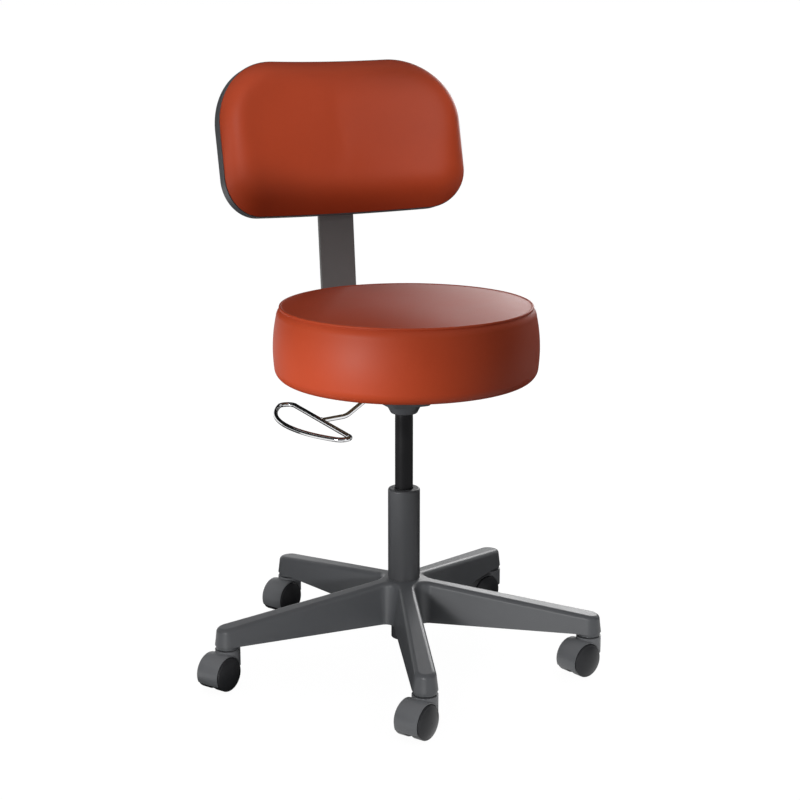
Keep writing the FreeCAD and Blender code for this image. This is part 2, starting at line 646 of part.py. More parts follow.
def seat_plate():
    """Pressed plate with a deep pan, the tapered hub and two ears for the lever's pivot."""
    middle = (PLATE_FRONT + PLATE_REAR) / 2
    half = (PLATE_REAR - PLATE_FRONT) / 2
    flange = Part.Face(rounded_box_wire(PLATE_HALF_X, half, PLATE_CORNER, PLATE_BOTTOM, middle))
    body = flange.extrude(Vector(0, 0, PLATE_THICK)).fuse(pan(0, PAN_FLOOR, PLATE_BOTTOM))
    body = body.cut(pan(PLATE_THICK, PAN_FLOOR + PLATE_THICK, SEAT_BOTTOM + OVERCUT))
    hub_top = HUB_BOTTOM + HUB_HEIGHT
    hub = turned(outline(
        rz(0, HUB_BOTTOM), rz(HUB_LIP - BREAK, HUB_BOTTOM), rz(HUB_LIP, HUB_BOTTOM + BREAK),
        rz(HUB_SKIRT, PAN_FLOOR), rz(HUB_SKIRT, PAN_FLOOR + PLATE_THICK),
        rz(HUB_HEAD, PAN_FLOOR + 2 * PLATE_THICK), rz(HUB_HEAD, hub_top), rz(0, hub_top)))
    ears = []
    for side in (-1, 1):
        inner = side * (BLADE_HALF + SIDE_CLEAR)
        outer = inner + side * EAR_THICK
        ear = block(PIVOT_X - EAR_HALF, PIVOT_X + EAR_HALF, min(inner, outer), max(inner, outer),
                    PAN_FLOOR + PLATE_THICK / 2, PIVOT_HEIGHT + EAR_HALF)
        ears.append(ear.common(pan(PLATE_THICK / 2, PAN_FLOOR, PLATE_BOTTOM)))
    body = body.multiFuse([hub] + ears)
    start = TUBE_TOP - TUBE_TAPER_LENGTH
    socket = turned(outline(
        rz(0, start - OVERCUT), rz(TUBE_RADIUS + SEAT_CLEAR, start - OVERCUT),
        rz(TUBE_RADIUS + SEAT_CLEAR, start),
        rz(tube_radius(hub_top) + SEAT_CLEAR, hub_top), rz(0, hub_top)))
    slot = block(-2 * PAN_HALF_X, PIVOT_X - EAR_HALF, -LEVER_SLOT_HALF, LEVER_SLOT_HALF,
                 PAN_FLOOR + 2 * PLATE_THICK, PLATE_BOTTOM)
    pin_hole = lying(PIVOT_RADIUS + SEAT_CLEAR, PIVOT_X, PIVOT_HEIGHT, -PAN_HALF_Y / 2, PAN_HALF_Y / 2)
    cuts = [socket, slot, pin_hole]
    for place in seat_bolt_places() + bar_bolt_places():
        cuts.append(bar(BOLT_RADIUS + HOLE_CLEAR, PLATE_BOTTOM - OVERCUT, SEAT_BOTTOM + OVERCUT, place))
    return body.cut(cuts[0].multiFuse(cuts[1:])).removeSplitter()


def lever_pin():
    reach = BLADE_HALF + SIDE_CLEAR + EAR_THICK + PIVOT_END
    return lying(PIVOT_RADIUS, PIVOT_X, PIVOT_HEIGHT, -reach, reach)


# Flat upright of the backrest

def leaned(degrees):
    """Upward direction that leans back by some degrees."""
    lean = math.radians(degrees)
    return Vector(0, math.sin(lean), math.cos(lean))


BAR_CORNER_POINT = Vector(0, BAR_SETBACK, BAR_LEVEL)
BAR_KINK = BAR_CORNER_POINT + leaned(BAR_LEAN) * ((BAR_KINK_HEIGHT - BAR_LEVEL) / leaned(BAR_LEAN).z)
BACK_UP = leaned(BACK_LEAN)
BACK_OUT = Vector(0, BACK_UP.z, -BACK_UP.y)
BAR_OFFSET = SLEEVE_FRONT + SLIDE_CLEAR + BAR_THICK / 2
BACK_MIDDLE = BAR_KINK + BACK_UP * BACK_RISE - BACK_OUT * BAR_OFFSET


def back_bar():
    """Flat steel bar from under the seat up behind the backrest."""
    start = Vector(0, BAR_START, BAR_LEVEL)
    top = BAR_KINK + BACK_UP * (BACK_RISE + BAR_TOP)
    low_half = rounded_path([start, BAR_CORNER_POINT, (BAR_CORNER_POINT + BAR_KINK) / 2], BAR_BEND)
    high_half = rounded_path([(BAR_CORNER_POINT + BAR_KINK) / 2, BAR_KINK, top], BAR_KINK_BEND)
    path = Part.Wire(low_half.OrderedEdges + high_half.OrderedEdges)
    half_x = BAR_WIDTH / 2
    half_z = BAR_THICK / 2
    section = Part.makePolygon([start + Vector(x, 0, z) for x, z in (
        (-half_x, -half_z), (half_x, -half_z), (half_x, half_z), (-half_x, half_z), (-half_x, -half_z))])
    strip = path.makePipeShell([section], True, False)
    ends = [e for e in strip.Edges if abs(e.Length - BAR_THICK) < 0.01]
    strip = strip.makeFillet(BAR_CORNER, ends)
    holes = [bar(BOLT_RADIUS + HOLE_CLEAR, BAR_LEVEL - BAR_THICK, BAR_LEVEL + BAR_THICK, place)
             for place in bar_bolt_places()]
    return strip.cut(holes[0].fuse(holes[1]))


# Release lever

def lever_loop():
    """Closed hand loop of round wire, with its bow round the column and a straight inner side."""
    centre_x = LOOP_BAR_X - LOOP_CORNER
    centre_y = math.sqrt((LOOP_BOW - LOOP_CORNER) ** 2 - centre_x ** 2)
    turn = math.atan2(centre_y, -centre_x)

    def p(x, y):
        return Vector(x, y, LOOP_HEIGHT)

    def on_bow(angle):
        return p(-LOOP_BOW * math.cos(angle), LOOP_BOW * math.sin(angle))

    half_way = (math.pi / 2 + (math.pi / 2 - turn)) / 2
    bend_mid = p(centre_x + LOOP_CORNER * math.cos(half_way), centre_y + LOOP_CORNER * math.sin(half_way))
    path = Part.Wire([
        Part.makeLine(p(LOOP_BAR_X, 0), p(LOOP_BAR_X, centre_y)),
        Part.Arc(p(LOOP_BAR_X, centre_y), bend_mid, on_bow(turn)).toShape(),
        Part.Arc(on_bow(turn), on_bow(turn / 2), on_bow(0)).toShape(),
    ])
    half = round_bar(path, WIRE_RADIUS)
    return half.fuse(half.mirror(ORIGIN, Vector(0, 1, 0))).removeSplitter()


def lever_rod(loop):
    """Bent rod from the loop to the pivot, ending in a flat blade over the valve pin."""
    tail = PIVOT_X - BLADE_TAIL
    path = rounded_path([Vector(LOOP_BAR_X, 0, LOOP_HEIGHT), Vector(ROD_RISE_X, 0, ROD_RISE_HEIGHT),
                         Vector(tail, 0, PIVOT_HEIGHT), Vector(PIVOT_X, 0, PIVOT_HEIGHT)], ROD_BEND)
    blade = block(tail, BLADE_TIP, -BLADE_HALF, BLADE_HALF,
                  PIVOT_HEIGHT - BLADE_LOW, PIVOT_HEIGHT + BLADE_HIGH)
    blade = blade.makeFillet(2 * BREAK, [e for e in blade.Edges if e.tangentAt(0).z in (-1.0, 1.0)])
    rod = round_bar(path, WIRE_RADIUS).fuse(blade).removeSplitter()
    hole = lying(PIVOT_RADIUS + RUN_CLEAR, PIVOT_X, PIVOT_HEIGHT, -2 * BLADE_HALF, 2 * BLADE_HALF)
    return rod.cut(hole).cut(loop)


# Backrest, drawn upright with its outside at y = 0 and then leaned back into place

def set_back(shape):
    """Lean a backrest piece and carry it to its place on the bar."""
    frame = Matrix(1, 0, 0, 0,
                   0, BACK_OUT.y, BACK_UP.y, BACK_MIDDLE.y,
                   0, BACK_OUT.z, BACK_UP.z, BACK_MIDDLE.z,
                   0, 0, 0, 1)
    placed = shape.copy()
    placed.Placement = Placement(frame).multiply(shape.Placement)
    return placed


def back_outline(shrink):
    """Front view of the backrest, drawn in all round by shrink, reaching through its depth."""
    half_x = BACK_WIDTH / 2 - shrink
    half_z = BACK_HEIGHT / 2 - shrink
    top = BACK_TOP_CORNER - shrink
    low = BACK_LOW_CORNER - shrink
    near = 1 - math.sqrt(0.5)
    reach = BACK_CURVE / 2

    def p(x, z):
        return Vector(x, -reach, z)

    edges = []
    for side in (1, -1):
        edges.append(Part.makeLine(p(side * half_x, -side * (half_z - (low if side > 0 else top))),
                                   p(side * half_x, side * (half_z - (top if side > 0 else low)))))
        first = top if side > 0 else low
        edges.append(Part.Arc(p(side * half_x, side * (half_z - first)),
                              p(side * (half_x - first * near), side * (half_z - first * near)),
                              p(side * (half_x - first), side * half_z)).toShape())
        edges.append(Part.makeLine(p(side * (half_x - first), side * half_z),
                                   p(-side * (half_x - first), side * half_z)))
        edges.append(Part.Arc(p(-side * (half_x - first), side * half_z),
                              p(-side * (half_x - first * near), side * (half_z - first * near)),
                              p(-side * half_x, side * (half_z - first))).toShape())
    return Part.Face(Part.Wire(edges)).extrude(Vector(0, 2 * reach, 0))


def curved_slab(rear, front_edge, front_middle):
    """Upright slab curved round the sitter, between two depths, with its front bulging in the middle."""
    tall = BACK_HEIGHT / 2 + BACK_LOW_CORNER
    front = rz(BACK_CURVE - front_edge, -tall)
    if front_middle == front_edge:
        face = rz(BACK_CURVE - front_edge, tall)
    else:
        face = (rz(BACK_CURVE - front_middle, 0), rz(BACK_CURVE - front_edge, tall))
    slab = turned(outline(rz(BACK_CURVE - rear, -tall), front, face, rz(BACK_CURVE - rear, tall)))
    slab.translate(Vector(0, -BACK_CURVE, 0))
    return slab.common(block(-BACK_WIDTH, BACK_WIDTH, -BACK_CURVE / 2, BACK_CURVE / 2, -tall, tall))


def edges_at_depth(shape, depth):
    """Edges that lie on the curved surface at one depth."""
    found = []
    for edge in shape.Edges:
        span = edge.LastParameter - edge.FirstParameter
        points = [edge.valueAt(edge.FirstParameter + span * t) for t in (0.0, 0.3, 0.6, 1.0)]
        if all(abs(math.hypot(q.x, q.y + BACK_CURVE) - (BACK_CURVE - depth)) < 0.01 for q in points):
            found.append(edge)
    return found


def screw_places():
    return [(x, z) for x in (-SCREW_HALF_X, SCREW_HALF_X) for z in (-SCREW_HALF_Z, SCREW_HALF_Z)]


def screw_holes(radius):
    holes = [lying(radius, x, z, -4 * SHELL_DEPTH, 4 * SHELL_DEPTH) for x, z in screw_places()]
    return holes[0].multiFuse(holes[1:])


def back_shell():
    """Moulded tray behind the cushion."""
    body = curved_slab(0, SHELL_DEPTH, SHELL_DEPTH).common(back_outline(0))
    body = body.makeFillet(SHELL_EDGE, edges_at_depth(body, 0))
    open_front = SHELL_DEPTH + OVERCUT
    hollow = curved_slab(SHELL_WALL, open_front, open_front).common(back_outline(SHELL_WALL))
    return body.cut(hollow).cut(screw_holes(SCREW_RADIUS + HOLE_CLEAR))


def back_board():
    board = curved_slab(SHELL_WALL + SEAT_CLEAR, SHELL_DEPTH, SHELL_DEPTH)
    return board.common(back_outline(SHELL_WALL + SIDE_CLEAR)).cut(screw_holes(SCREW_RADIUS + SEAT_CLEAR))


def back_cushion():
    """Padded front: crowned, round at its edges and drawn in where it meets the shell."""
    rear = SHELL_DEPTH + SOFT_CLEAR
    front = SHELL_DEPTH + PAD_DEPTH
    body = curved_slab(rear, front, front + PAD_CROWN).common(back_outline(PAD_INSET))
    front_face = max((f for f in body.Faces if isinstance(f.Surface, Part.Toroid)), key=lambda f: f.Area)
    body = body.makeFillet(PAD_EDGE, front_face.OuterWire.Edges)
    return body.makeFillet(PAD_TUCK, edges_at_depth(body, rear))


def bar_sleeve():
    """Bracket on the shell that slides on the bar, with a boss for the clamp screw."""
    slot_front = BAR_OFFSET - BAR_THICK / 2 - SLIDE_CLEAR
    slot_rear = BAR_OFFSET + BAR_THICK / 2 + SLIDE_CLEAR
    slot_half = BAR_WIDTH / 2 + SLIDE_CLEAR
    rear = slot_rear + SLEEVE_REAR
    half_z = SLEEVE_HEIGHT / 2
    front = -SLEEVE_FRONT
    housing = block(-slot_half - SLEEVE_SIDE, slot_half + SLEEVE_SIDE, front, rear, -half_z, half_z)
    flange = block(-FLANGE_HALF_X, FLANGE_HALF_X, front, FLANGE_THICK, -FLANGE_HALF_Z, FLANGE_HALF_Z)
    outside = [e for e in housing.Edges if e.CenterOfMass.y > rear - SEAT_CLEAR]
    housing = housing.makeFillet(SLEEVE_REAR / 2, outside)
    boss = lying(KNOB_BOSS, 0, 0, slot_rear, rear + KNOB_BOSS_LENGTH)
    body = housing.multiFuse([flange, boss]).removeSplitter()
    slot = block(-slot_half, slot_half, slot_front, slot_rear, -half_z - OVERCUT, half_z + OVERCUT)
    stud_hole = lying(STUD_RADIUS + RUN_CLEAR, 0, 0, slot_front, 2 * rear)
    shell_side = bar(BACK_CURVE + SEAT_CLEAR, -SLEEVE_HEIGHT, SLEEVE_HEIGHT, Vector(0, -BACK_CURVE, 0))
    screws = screw_holes(SCREW_RADIUS + HOLE_CLEAR)
    return body.cut(slot.multiFuse([stud_hole, shell_side, screws]))


def shell_screws():
    screws = []
    for x, z in screw_places():
        shank = lying(SCREW_RADIUS, x, z, -SHELL_WALL - SCREW_BITE, FLANGE_THICK)
        head = lying(SCREW_HEAD, x, z, FLANGE_THICK, FLANGE_THICK + SCREW_HEAD_HEIGHT)
        crown = [e for e in head.Edges if e.Closed and e.CenterOfMass.y > FLANGE_THICK + SEAT_CLEAR]
        head = head.makeFillet(SCREW_HEAD_HEIGHT / 2, crown)
        screws.append(shank.fuse(head).removeSplitter())
    return screws


KNOB_FACE = BAR_OFFSET + BAR_THICK / 2 + SLIDE_CLEAR + SLEEVE_REAR + KNOB_BOSS_LENGTH + KNOB_GAP


def knob_stud():
    tip = BAR_OFFSET + BAR_THICK / 2 + SLIDE_CLEAR
    return lying(STUD_RADIUS, 0, 0, tip, KNOB_FACE + STUD_INSIDE)


def clamp_knob():
    knob = lying(KNOB_RADIUS, 0, 0, KNOB_FACE, KNOB_FACE + KNOB_THICK)
    flutes = []
    for k in range(KNOB_LOBES):
        place = polar(KNOB_RADIUS + KNOB_FLUTE / 2, 360.0 / KNOB_LOBES * k)
        flutes.append(lying(KNOB_FLUTE, place.x, place.y, KNOB_FACE, KNOB_FACE + KNOB_THICK))
    knob = knob.cut(flutes[0].multiFuse(flutes[1:]))
    rims = [f for f in knob.Faces if isinstance(f.Surface, Part.Plane)]
    knob = knob.makeFillet(2 * BREAK, [e for f in rims for e in f.OuterWire.Edges])
    return knob.cut(lying(STUD_RADIUS + SEAT_CLEAR, 0, 0, KNOB_FACE - OVERCUT, KNOB_FACE + STUD_INSIDE))


# Casters, drawn with the stem on the Z axis and the wheels trailing towards +X

def set_caster(shape, k):
    placed = shape.copy()
    turn = Rotation(AXIS_Z, 180 + CASTER_TURNS[k])
    placed.Placement = Placement(stem_place(k), turn).multiply(shape.Placement)
    return placed


def caster_stem():
    """Steel stem with a flange between the neck and the caster."""
    return turned(outline(
        rz(0, BOSS_TOP - STEM_JOURNAL), rz(STEM_RADIUS, BOSS_TOP - STEM_JOURNAL),
        rz(STEM_RADIUS, BOSS_TOP + RUN_CLEAR), rz(STEM_FLANGE, BOSS_TOP + RUN_CLEAR),
        rz(STEM_FLANGE, NECK_BOTTOM), rz(STEM_RADIUS, NECK_BOTTOM),
        rz(STEM_RADIUS, NECK_BOTTOM + STEM_LENGTH - BREAK),
        rz(STEM_RADIUS - BREAK, NECK_BOTTOM + STEM_LENGTH), rz(0, NECK_BOTTOM + STEM_LENGTH)))


def stem_socket():
    return ring(STEM_RADIUS + SOCKET_WALL, STEM_RADIUS + SEAT_CLEAR, NECK_BOTTOM, NECK_BOTTOM + STEM_LENGTH)


def caster_hood():
    """Hood over both treads, with the web that holds the axle and the boss for the stem."""
    room = WHEEL_RADIUS + HOOD_GAP
    cover = turned(outline(
        rz(0, -HOOD_HALF), rz(room + HOOD_RIM, -HOOD_HALF),
        (rz(room + HOOD_WALL, 0), rz(room + HOOD_RIM, HOOD_HALF)), rz(0, HOOD_HALF)))
    cover.rotate(ORIGIN, Vector(1, 0, 0), -90)
    cover.translate(Vector(TRAIL, 0, WHEEL_RADIUS))
    below = block(-3 * room, 3 * room, -2 * HOOD_HALF, 2 * HOOD_HALF, -3 * room, -HOOD_DROP)
    below.Placement = Placement(Vector(TRAIL, 0, WHEEL_RADIUS), Rotation(Vector(0, 1, 0), HOOD_TILT))
    boss = bar(BOSS_RADIUS, BOSS_BOTTOM, BOSS_TOP)
    above = bar(NECK_RADIUS + HOOD_GAP, BOSS_TOP, 3 * room)
    body = cover.cut(below).fuse(boss).cut(above)
    for side in (-1, 1):
        low = WEB_HALF if side > 0 else -2 * HOOD_HALF
        body = body.cut(lying(room, TRAIL, WHEEL_RADIUS, low, low + 2 * HOOD_HALF - WEB_HALF))
    web = lying(WEB_RADIUS, TRAIL, WHEEL_RADIUS, -WEB_HALF, WEB_HALF)
    body = body.fuse(web).removeSplitter()
    holes = bar(STEM_RADIUS + RUN_CLEAR, BOSS_TOP - STEM_JOURNAL - RUN_CLEAR, BOSS_TOP + OVERCUT).fuse(
        lying(AXLE_RADIUS + SEAT_CLEAR, TRAIL, WHEEL_RADIUS, -2 * WEB_HALF, 2 * WEB_HALF))
    return body.cut(holes)


def caster_axle():
    reach = WHEEL_OUTER - WHEEL_EDGE
    return lying(AXLE_RADIUS, TRAIL, WHEEL_RADIUS, -reach, reach)


def caster_wheel(side):
    """Wheel with a rounded tread and a domed outer face, on the given side of the web."""
    bore = AXLE_RADIUS + RUN_CLEAR
    axle_end = WHEEL_OUTER - WHEEL_EDGE + RUN_CLEAR
    curve = WHEEL_EDGE * (1 - math.sqrt(0.5))
    rim = WHEEL_RADIUS - WHEEL_EDGE
    wire = outline(
        rz(bore, WHEEL_INNER), rz(rim, WHEEL_INNER),
        (rz(WHEEL_RADIUS - curve, WHEEL_INNER + curve), rz(WHEEL_RADIUS, WHEEL_INNER + WHEEL_EDGE)),
        rz(WHEEL_RADIUS, WHEEL_OUTER - WHEEL_EDGE),
        (rz(WHEEL_RADIUS - curve, WHEEL_OUTER - curve), rz(rim, WHEEL_OUTER)),
        dome(rim, WHEEL_OUTER, WHEEL_DOME),
        rz(0, axle_end), rz(bore, axle_end))
    wheel = turned(wire)
    wheel.rotate(ORIGIN, Vector(1, 0, 0), -90 * side)
    wheel.translate(Vector(TRAIL, 0, WHEEL_RADIUS))
    return wheel


def build():
    os.makedirs("parts", exist_ok=True)
    places = [Placement(stem_place(k), Rotation()) for k in range(LEG_COUNT)]
    save("base_star", base_star())
    save("stem_sockets", *[stem_socket().transformed(p.toMatrix()) for p in places])
    save("caster_stems", *[caster_stem().transformed(p.toMatrix()) for p in places])
    save("stand_tube", stand_tube())
    save("guide_bush", guide_bush())
    save("bearing_lower_race", lower_race())
    save("bearing_cage", ball_cage())
    save("bearing_balls", *bearing_balls())
    save("bearing_upper_race", upper_race())
    save("piston_rod", piston_rod())
    save("piston_head", piston_head())
    save("bump_stop", bump_stop())
    save("rod_clip", rod_clip())
    save("pressure_tube", pressure_tube())
    save("rod_seal", rod_seal())
    save("valve_pin", valve_pin())
    save("seat_plate", seat_plate())
    save("seat_board", seat_board())
    save("seat_cushion", seat_cushion())
    save("seat_bolts", *[hex_bolt(p, PLATE_BOTTOM) for p in seat_bolt_places()])
    save("bar_bolts", *[hex_bolt(p, BAR_LEVEL - BAR_THICK / 2) for p in bar_bolt_places()])
    save("tee_nuts", *[tee_nut(p) for p in seat_bolt_places() + bar_bolt_places()])
    save("back_bar", back_bar())
    save("lever_pin", lever_pin())
    loop = lever_loop()
    save("lever_loop", loop)
    save("lever_rod", lever_rod(loop))
    save("back_shell", set_back(back_shell()))
    save("back_board", set_back(back_board()))
    save("back_cushion", set_back(back_cushion()))
    save("bar_sleeve", set_back(bar_sleeve()))
    save("shell_screws", *[set_back(s) for s in shell_screws()])
    save("clamp_knob", set_back(clamp_knob()))
    save("knob_stud", set_back(knob_stud()))
    for k in range(LEG_COUNT):
        save(f"caster_hood_{k + 1}", set_caster(caster_hood(), k))
        save(f"caster_axle_{k + 1}", set_caster(caster_axle(), k))
        save(f"caster_wheel_{k + 1}a", set_caster(caster_wheel(1), k))
        save(f"caster_wheel_{k + 1}b", set_caster(caster_wheel(-1), k))


build()
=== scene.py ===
# %% [markdown]
# A stool with a backrest, as used in clinics and laboratories: a round padded seat on a gas lift, a
# five-legged base on casters, and a padded back on a flat upright. The rigid pieces come in as packed
# solids, in metres, and stay as they are. This lesson gives them finishes, and makes the two cushions
# anew, because a cushion is a sewn cover that swells, which a solid shows only roughly.

# %% Load the frame
import json
import math

import bpy
import numpy as np
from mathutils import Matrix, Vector


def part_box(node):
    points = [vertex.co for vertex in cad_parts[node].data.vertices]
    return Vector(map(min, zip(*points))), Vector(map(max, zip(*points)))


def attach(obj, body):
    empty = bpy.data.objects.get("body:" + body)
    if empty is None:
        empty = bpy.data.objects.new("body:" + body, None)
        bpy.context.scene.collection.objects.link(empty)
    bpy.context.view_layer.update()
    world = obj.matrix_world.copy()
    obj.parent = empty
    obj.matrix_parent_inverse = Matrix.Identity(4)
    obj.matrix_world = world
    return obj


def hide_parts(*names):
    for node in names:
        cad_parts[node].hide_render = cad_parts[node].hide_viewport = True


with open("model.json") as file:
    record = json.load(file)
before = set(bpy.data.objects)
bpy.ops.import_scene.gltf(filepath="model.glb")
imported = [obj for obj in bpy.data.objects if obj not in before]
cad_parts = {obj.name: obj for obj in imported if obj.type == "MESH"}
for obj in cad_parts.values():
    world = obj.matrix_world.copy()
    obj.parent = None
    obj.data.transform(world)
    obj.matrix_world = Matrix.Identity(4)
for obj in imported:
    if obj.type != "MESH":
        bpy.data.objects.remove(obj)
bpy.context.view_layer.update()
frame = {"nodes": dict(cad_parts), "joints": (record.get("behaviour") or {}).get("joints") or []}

scene = bpy.context.scene
nodes = frame["nodes"]
joints = {joint["name"]: joint for joint in frame["joints"]}
print("pieces in the frame:", len(nodes), "joints:", len(joints))

# %% [markdown]
# Every finish on the stool changes a little over its surface: moulded nylon has a spark-eroded grain,
# vinyl has a pebbled one, paint is cloudy in its gloss. Each such effect is wanted by more than one
# finish, so each is a shader node group with its own inputs, built once. Object coordinates carry the
# patterns, because they are in metres and need no unwrapping.

# %% A helper that starts a node group
def start_group(name, inputs, outputs):
    group = bpy.data.node_groups.new(name, "ShaderNodeTree")
    for label, value in inputs.items():
        socket = group.interface.new_socket(label, in_out="INPUT", socket_type="NodeSocketFloat")
        socket.default_value = value
    for label in outputs:
        group.interface.new_socket(label, in_out="OUTPUT", socket_type="NodeSocketFloat")
    entry = group.nodes.new("NodeGroupInput")
    leave = group.nodes.new("NodeGroupOutput")
    return group, entry, leave


def add_node(tree, kind, **settings):
    node = tree.nodes.new(kind)
    for label, value in settings.items():
        setattr(node, label, value)
    return node


def spread(tree, value, from_low, from_high, to_low, to_high):
    """Stretch a value from one range to another, and hold it there."""
    node = add_node(tree, "ShaderNodeMapRange", clamp=True)
    tree.links.new(value, node.inputs["Value"])
    for label, number in zip(("From Min", "From Max", "To Min", "To Max"),
                             (from_low, from_high, to_low, to_high)):
        node.inputs[label].default_value = number
    return node.outputs["Result"]


def combine(tree, how, first, second):
    """Join two values by a sum, product or the like. Either may be a plain number."""
    node = add_node(tree, "ShaderNodeMath", operation=how)
    for socket, value in zip(node.inputs, (first, second)):
        if isinstance(value, (int, float)):
            socket.default_value = value
        else:
            tree.links.new(value, socket)
    return node.outputs[0]


print("node helpers ready")

# %% [markdown]
# Moulded and painted surfaces are never quite even: dye, paint and handling leave soft patches. They
# could be painted by hand, but a slow noise gives them on every piece without a seam.

# %% Slow changes of tone, for all finishes
def make_cloud_group():
    group, entry, leave = start_group("cloudy_tone", {"Patches per metre": 9.0}, ["Tone"])
    place = add_node(group, "ShaderNodeTexCoord")
    noise = add_node(group, "ShaderNodeTexNoise")
    noise.inputs["Detail"].default_value = 5.0
    noise.inputs["Roughness"].default_value = 0.62
    group.links.new(place.outputs["Object"], noise.inputs["Vector"])
    group.links.new(entry.outputs["Patches per metre"], noise.inputs["Scale"])
    group.links.new(spread(group, noise.outputs["Fac"], 0.3, 0.7, 0.0, 1.0), leave.inputs["Tone"])
    return group


cloudy_tone = make_cloud_group()
print("group:", cloudy_tone.name)

# %% [markdown]
# A mould's wall is eroded by sparks, and the nylon takes over its fine, even grain. Powder coat and
# rubber look much alike. Two noises do it, a fine one and a coarser one under it, because a single
# noise looks too regular close up.

# %% The fine grain of a spark-eroded mould, for nylon, powder coat and rubber
def make_mould_group():
    group, entry, leave = start_group("mould_grain", {"Grains per metre": 1400.0}, ["Height"])
    place = add_node(group, "ShaderNodeTexCoord")
    fine = add_node(group, "ShaderNodeTexNoise")
    fine.inputs["Detail"].default_value = 2.0
    coarse = add_node(group, "ShaderNodeTexNoise")
    coarse.inputs["Detail"].default_value = 1.0
    for noise in (fine, coarse):
        group.links.new(place.outputs["Object"], noise.inputs["Vector"])
    group.links.new(entry.outputs["Grains per metre"], fine.inputs["Scale"])
    wider = combine(group, "MULTIPLY", entry.outputs["Grains per metre"], 0.35)
    group.links.new(wider, coarse.inputs["Scale"])
    low = combine(group, "MULTIPLY", coarse.outputs["Fac"], 0.4)
    group.links.new(combine(group, "ADD", fine.outputs["Fac"], low), leave.inputs["Height"])
    return group


mould_grain = make_mould_group()
print("group:", mould_grain.name)

# %% [markdown]
# Upholstery vinyl is embossed with small pebbles and creases between them. Cell patterns have just that
# layout. Noise pushes the cells a little, so that they don't look drawn with a ruler.

# %% The pebbled grain of upholstery vinyl
def make_vinyl_group():
    group, entry, leave = start_group("vinyl_pebble", {"Pebbles per metre": 800.0}, ["Height", "Valley"])
    place = add_node(group, "ShaderNodeTexCoord")
    wander = add_node(group, "ShaderNodeTexNoise")
    wander.inputs["Scale"].default_value = 420.0
    wander.inputs["Detail"].default_value = 2.0
    push = add_node(group, "ShaderNodeVectorMath", operation="SCALE")
    push.inputs["Scale"].default_value = 0.0011
    moved = add_node(group, "ShaderNodeVectorMath", operation="ADD")
    pebble = add_node(group, "ShaderNodeTexVoronoi", feature="SMOOTH_F1")
    pebble.inputs["Smoothness"].default_value = 0.35
    crease = add_node(group, "ShaderNodeTexVoronoi", feature="DISTANCE_TO_EDGE")
    group.links.new(place.outputs["Object"], wander.inputs["Vector"])
    group.links.new(wander.outputs["Color"], push.inputs[0])
    group.links.new(place.outputs["Object"], moved.inputs[0])
    group.links.new(push.outputs["Vector"], moved.inputs[1])
    for cells in (pebble, crease):
        group.links.new(moved.outputs["Vector"], cells.inputs["Vector"])
    group.links.new(entry.outputs["Pebbles per metre"], pebble.inputs["Scale"])
    wider = combine(group, "MULTIPLY", entry.outputs["Pebbles per metre"], 0.55)
    group.links.new(wider, crease.inputs["Scale"])
    dome = spread(group, pebble.outputs["Distance"], 0.0, 0.75, 1.0, 0.0)
    valley = spread(group, crease.outputs["Distance"], 0.0, 0.09, 1.0, 0.0)
    height = combine(group, "SUBTRACT", dome, combine(group, "MULTIPLY", valley, 0.5))
    group.links.new(height, leave.inputs["Height"])
    group.links.new(valley, leave.inputs["Valley"])
    return group


vinyl_pebble = make_vinyl_group()
print("group:", vinyl_pebble.name)

# %% [markdown]
# A lathe tool leaves fine rings round a turned pin, and a die leaves lines along a drawn one. A noise
# that is squeezed along one axis gives streaks for both.

# %% The fine rings and lines that a tool leaves on turned and drawn steel
def make_drawn_group():
    group, entry, leave = start_group("drawn_lines", {"Lines per metre": 2600.0}, ["Line"])
    place = add_node(group, "ShaderNodeTexCoord")
    squeeze = add_node(group, "ShaderNodeMapping")
    squeeze.inputs["Scale"].default_value = (0.06, 0.06, 1.0)
    noise = add_node(group, "ShaderNodeTexNoise")
    noise.inputs["Detail"].default_value = 3.0
    group.links.new(place.outputs["Object"], squeeze.inputs["Vector"])
    group.links.new(squeeze.outputs["Vector"], noise.inputs["Vector"])
    group.links.new(entry.outputs["Lines per metre"], noise.inputs["Scale"])
    group.links.new(spread(group, noise.outputs["Fac"], 0.32, 0.68, 0.0, 1.0), leave.inputs["Line"])
    return group


drawn_lines = make_drawn_group()
print("group:", drawn_lines.name)

# %% [markdown]
# A finish could be one flat colour, but then it looks like a toy under soft light. Here each material
# keeps its own principled shader, and the groups above feed only its colour, its roughness and the
# height of a bump. What is the same all over, such as metalness, is set on the shader's own socket.

# %% Helpers that every finish uses
def start_finish(name):
    finish = bpy.data.materials.new(name)
    finish.use_nodes = True
    return finish, finish.node_tree, finish.node_tree.nodes["Principled BSDF"]


def use_group(tree, group, **values):
    node = add_node(tree, "ShaderNodeGroup", node_tree=group)
    for label, value in values.items():
        node.inputs[label.replace("_", " ")].default_value = value
    return node


def two_tone(tree, shader, factor, dark, light):
    """Base colour that goes between two tones of one colour."""
    mix = add_node(tree, "ShaderNodeMix", data_type="RGBA")
    tree.links.new(factor, mix.inputs["Factor"])
    mix.inputs["A"].default_value = (*dark, 1.0)
    mix.inputs["B"].default_value = (*light, 1.0)
    tree.links.new(mix.outputs["Result"], shader.inputs["Base Color"])


def raise_surface(tree, shader, height, strength, depth):
    bump = add_node(tree, "ShaderNodeBump")
    bump.inputs["Strength"].default_value = strength
    bump.inputs["Distance"].default_value = depth
    tree.links.new(height, bump.inputs["Height"])
    tree.links.new(bump.outputs["Normal"], shader.inputs["Normal"])


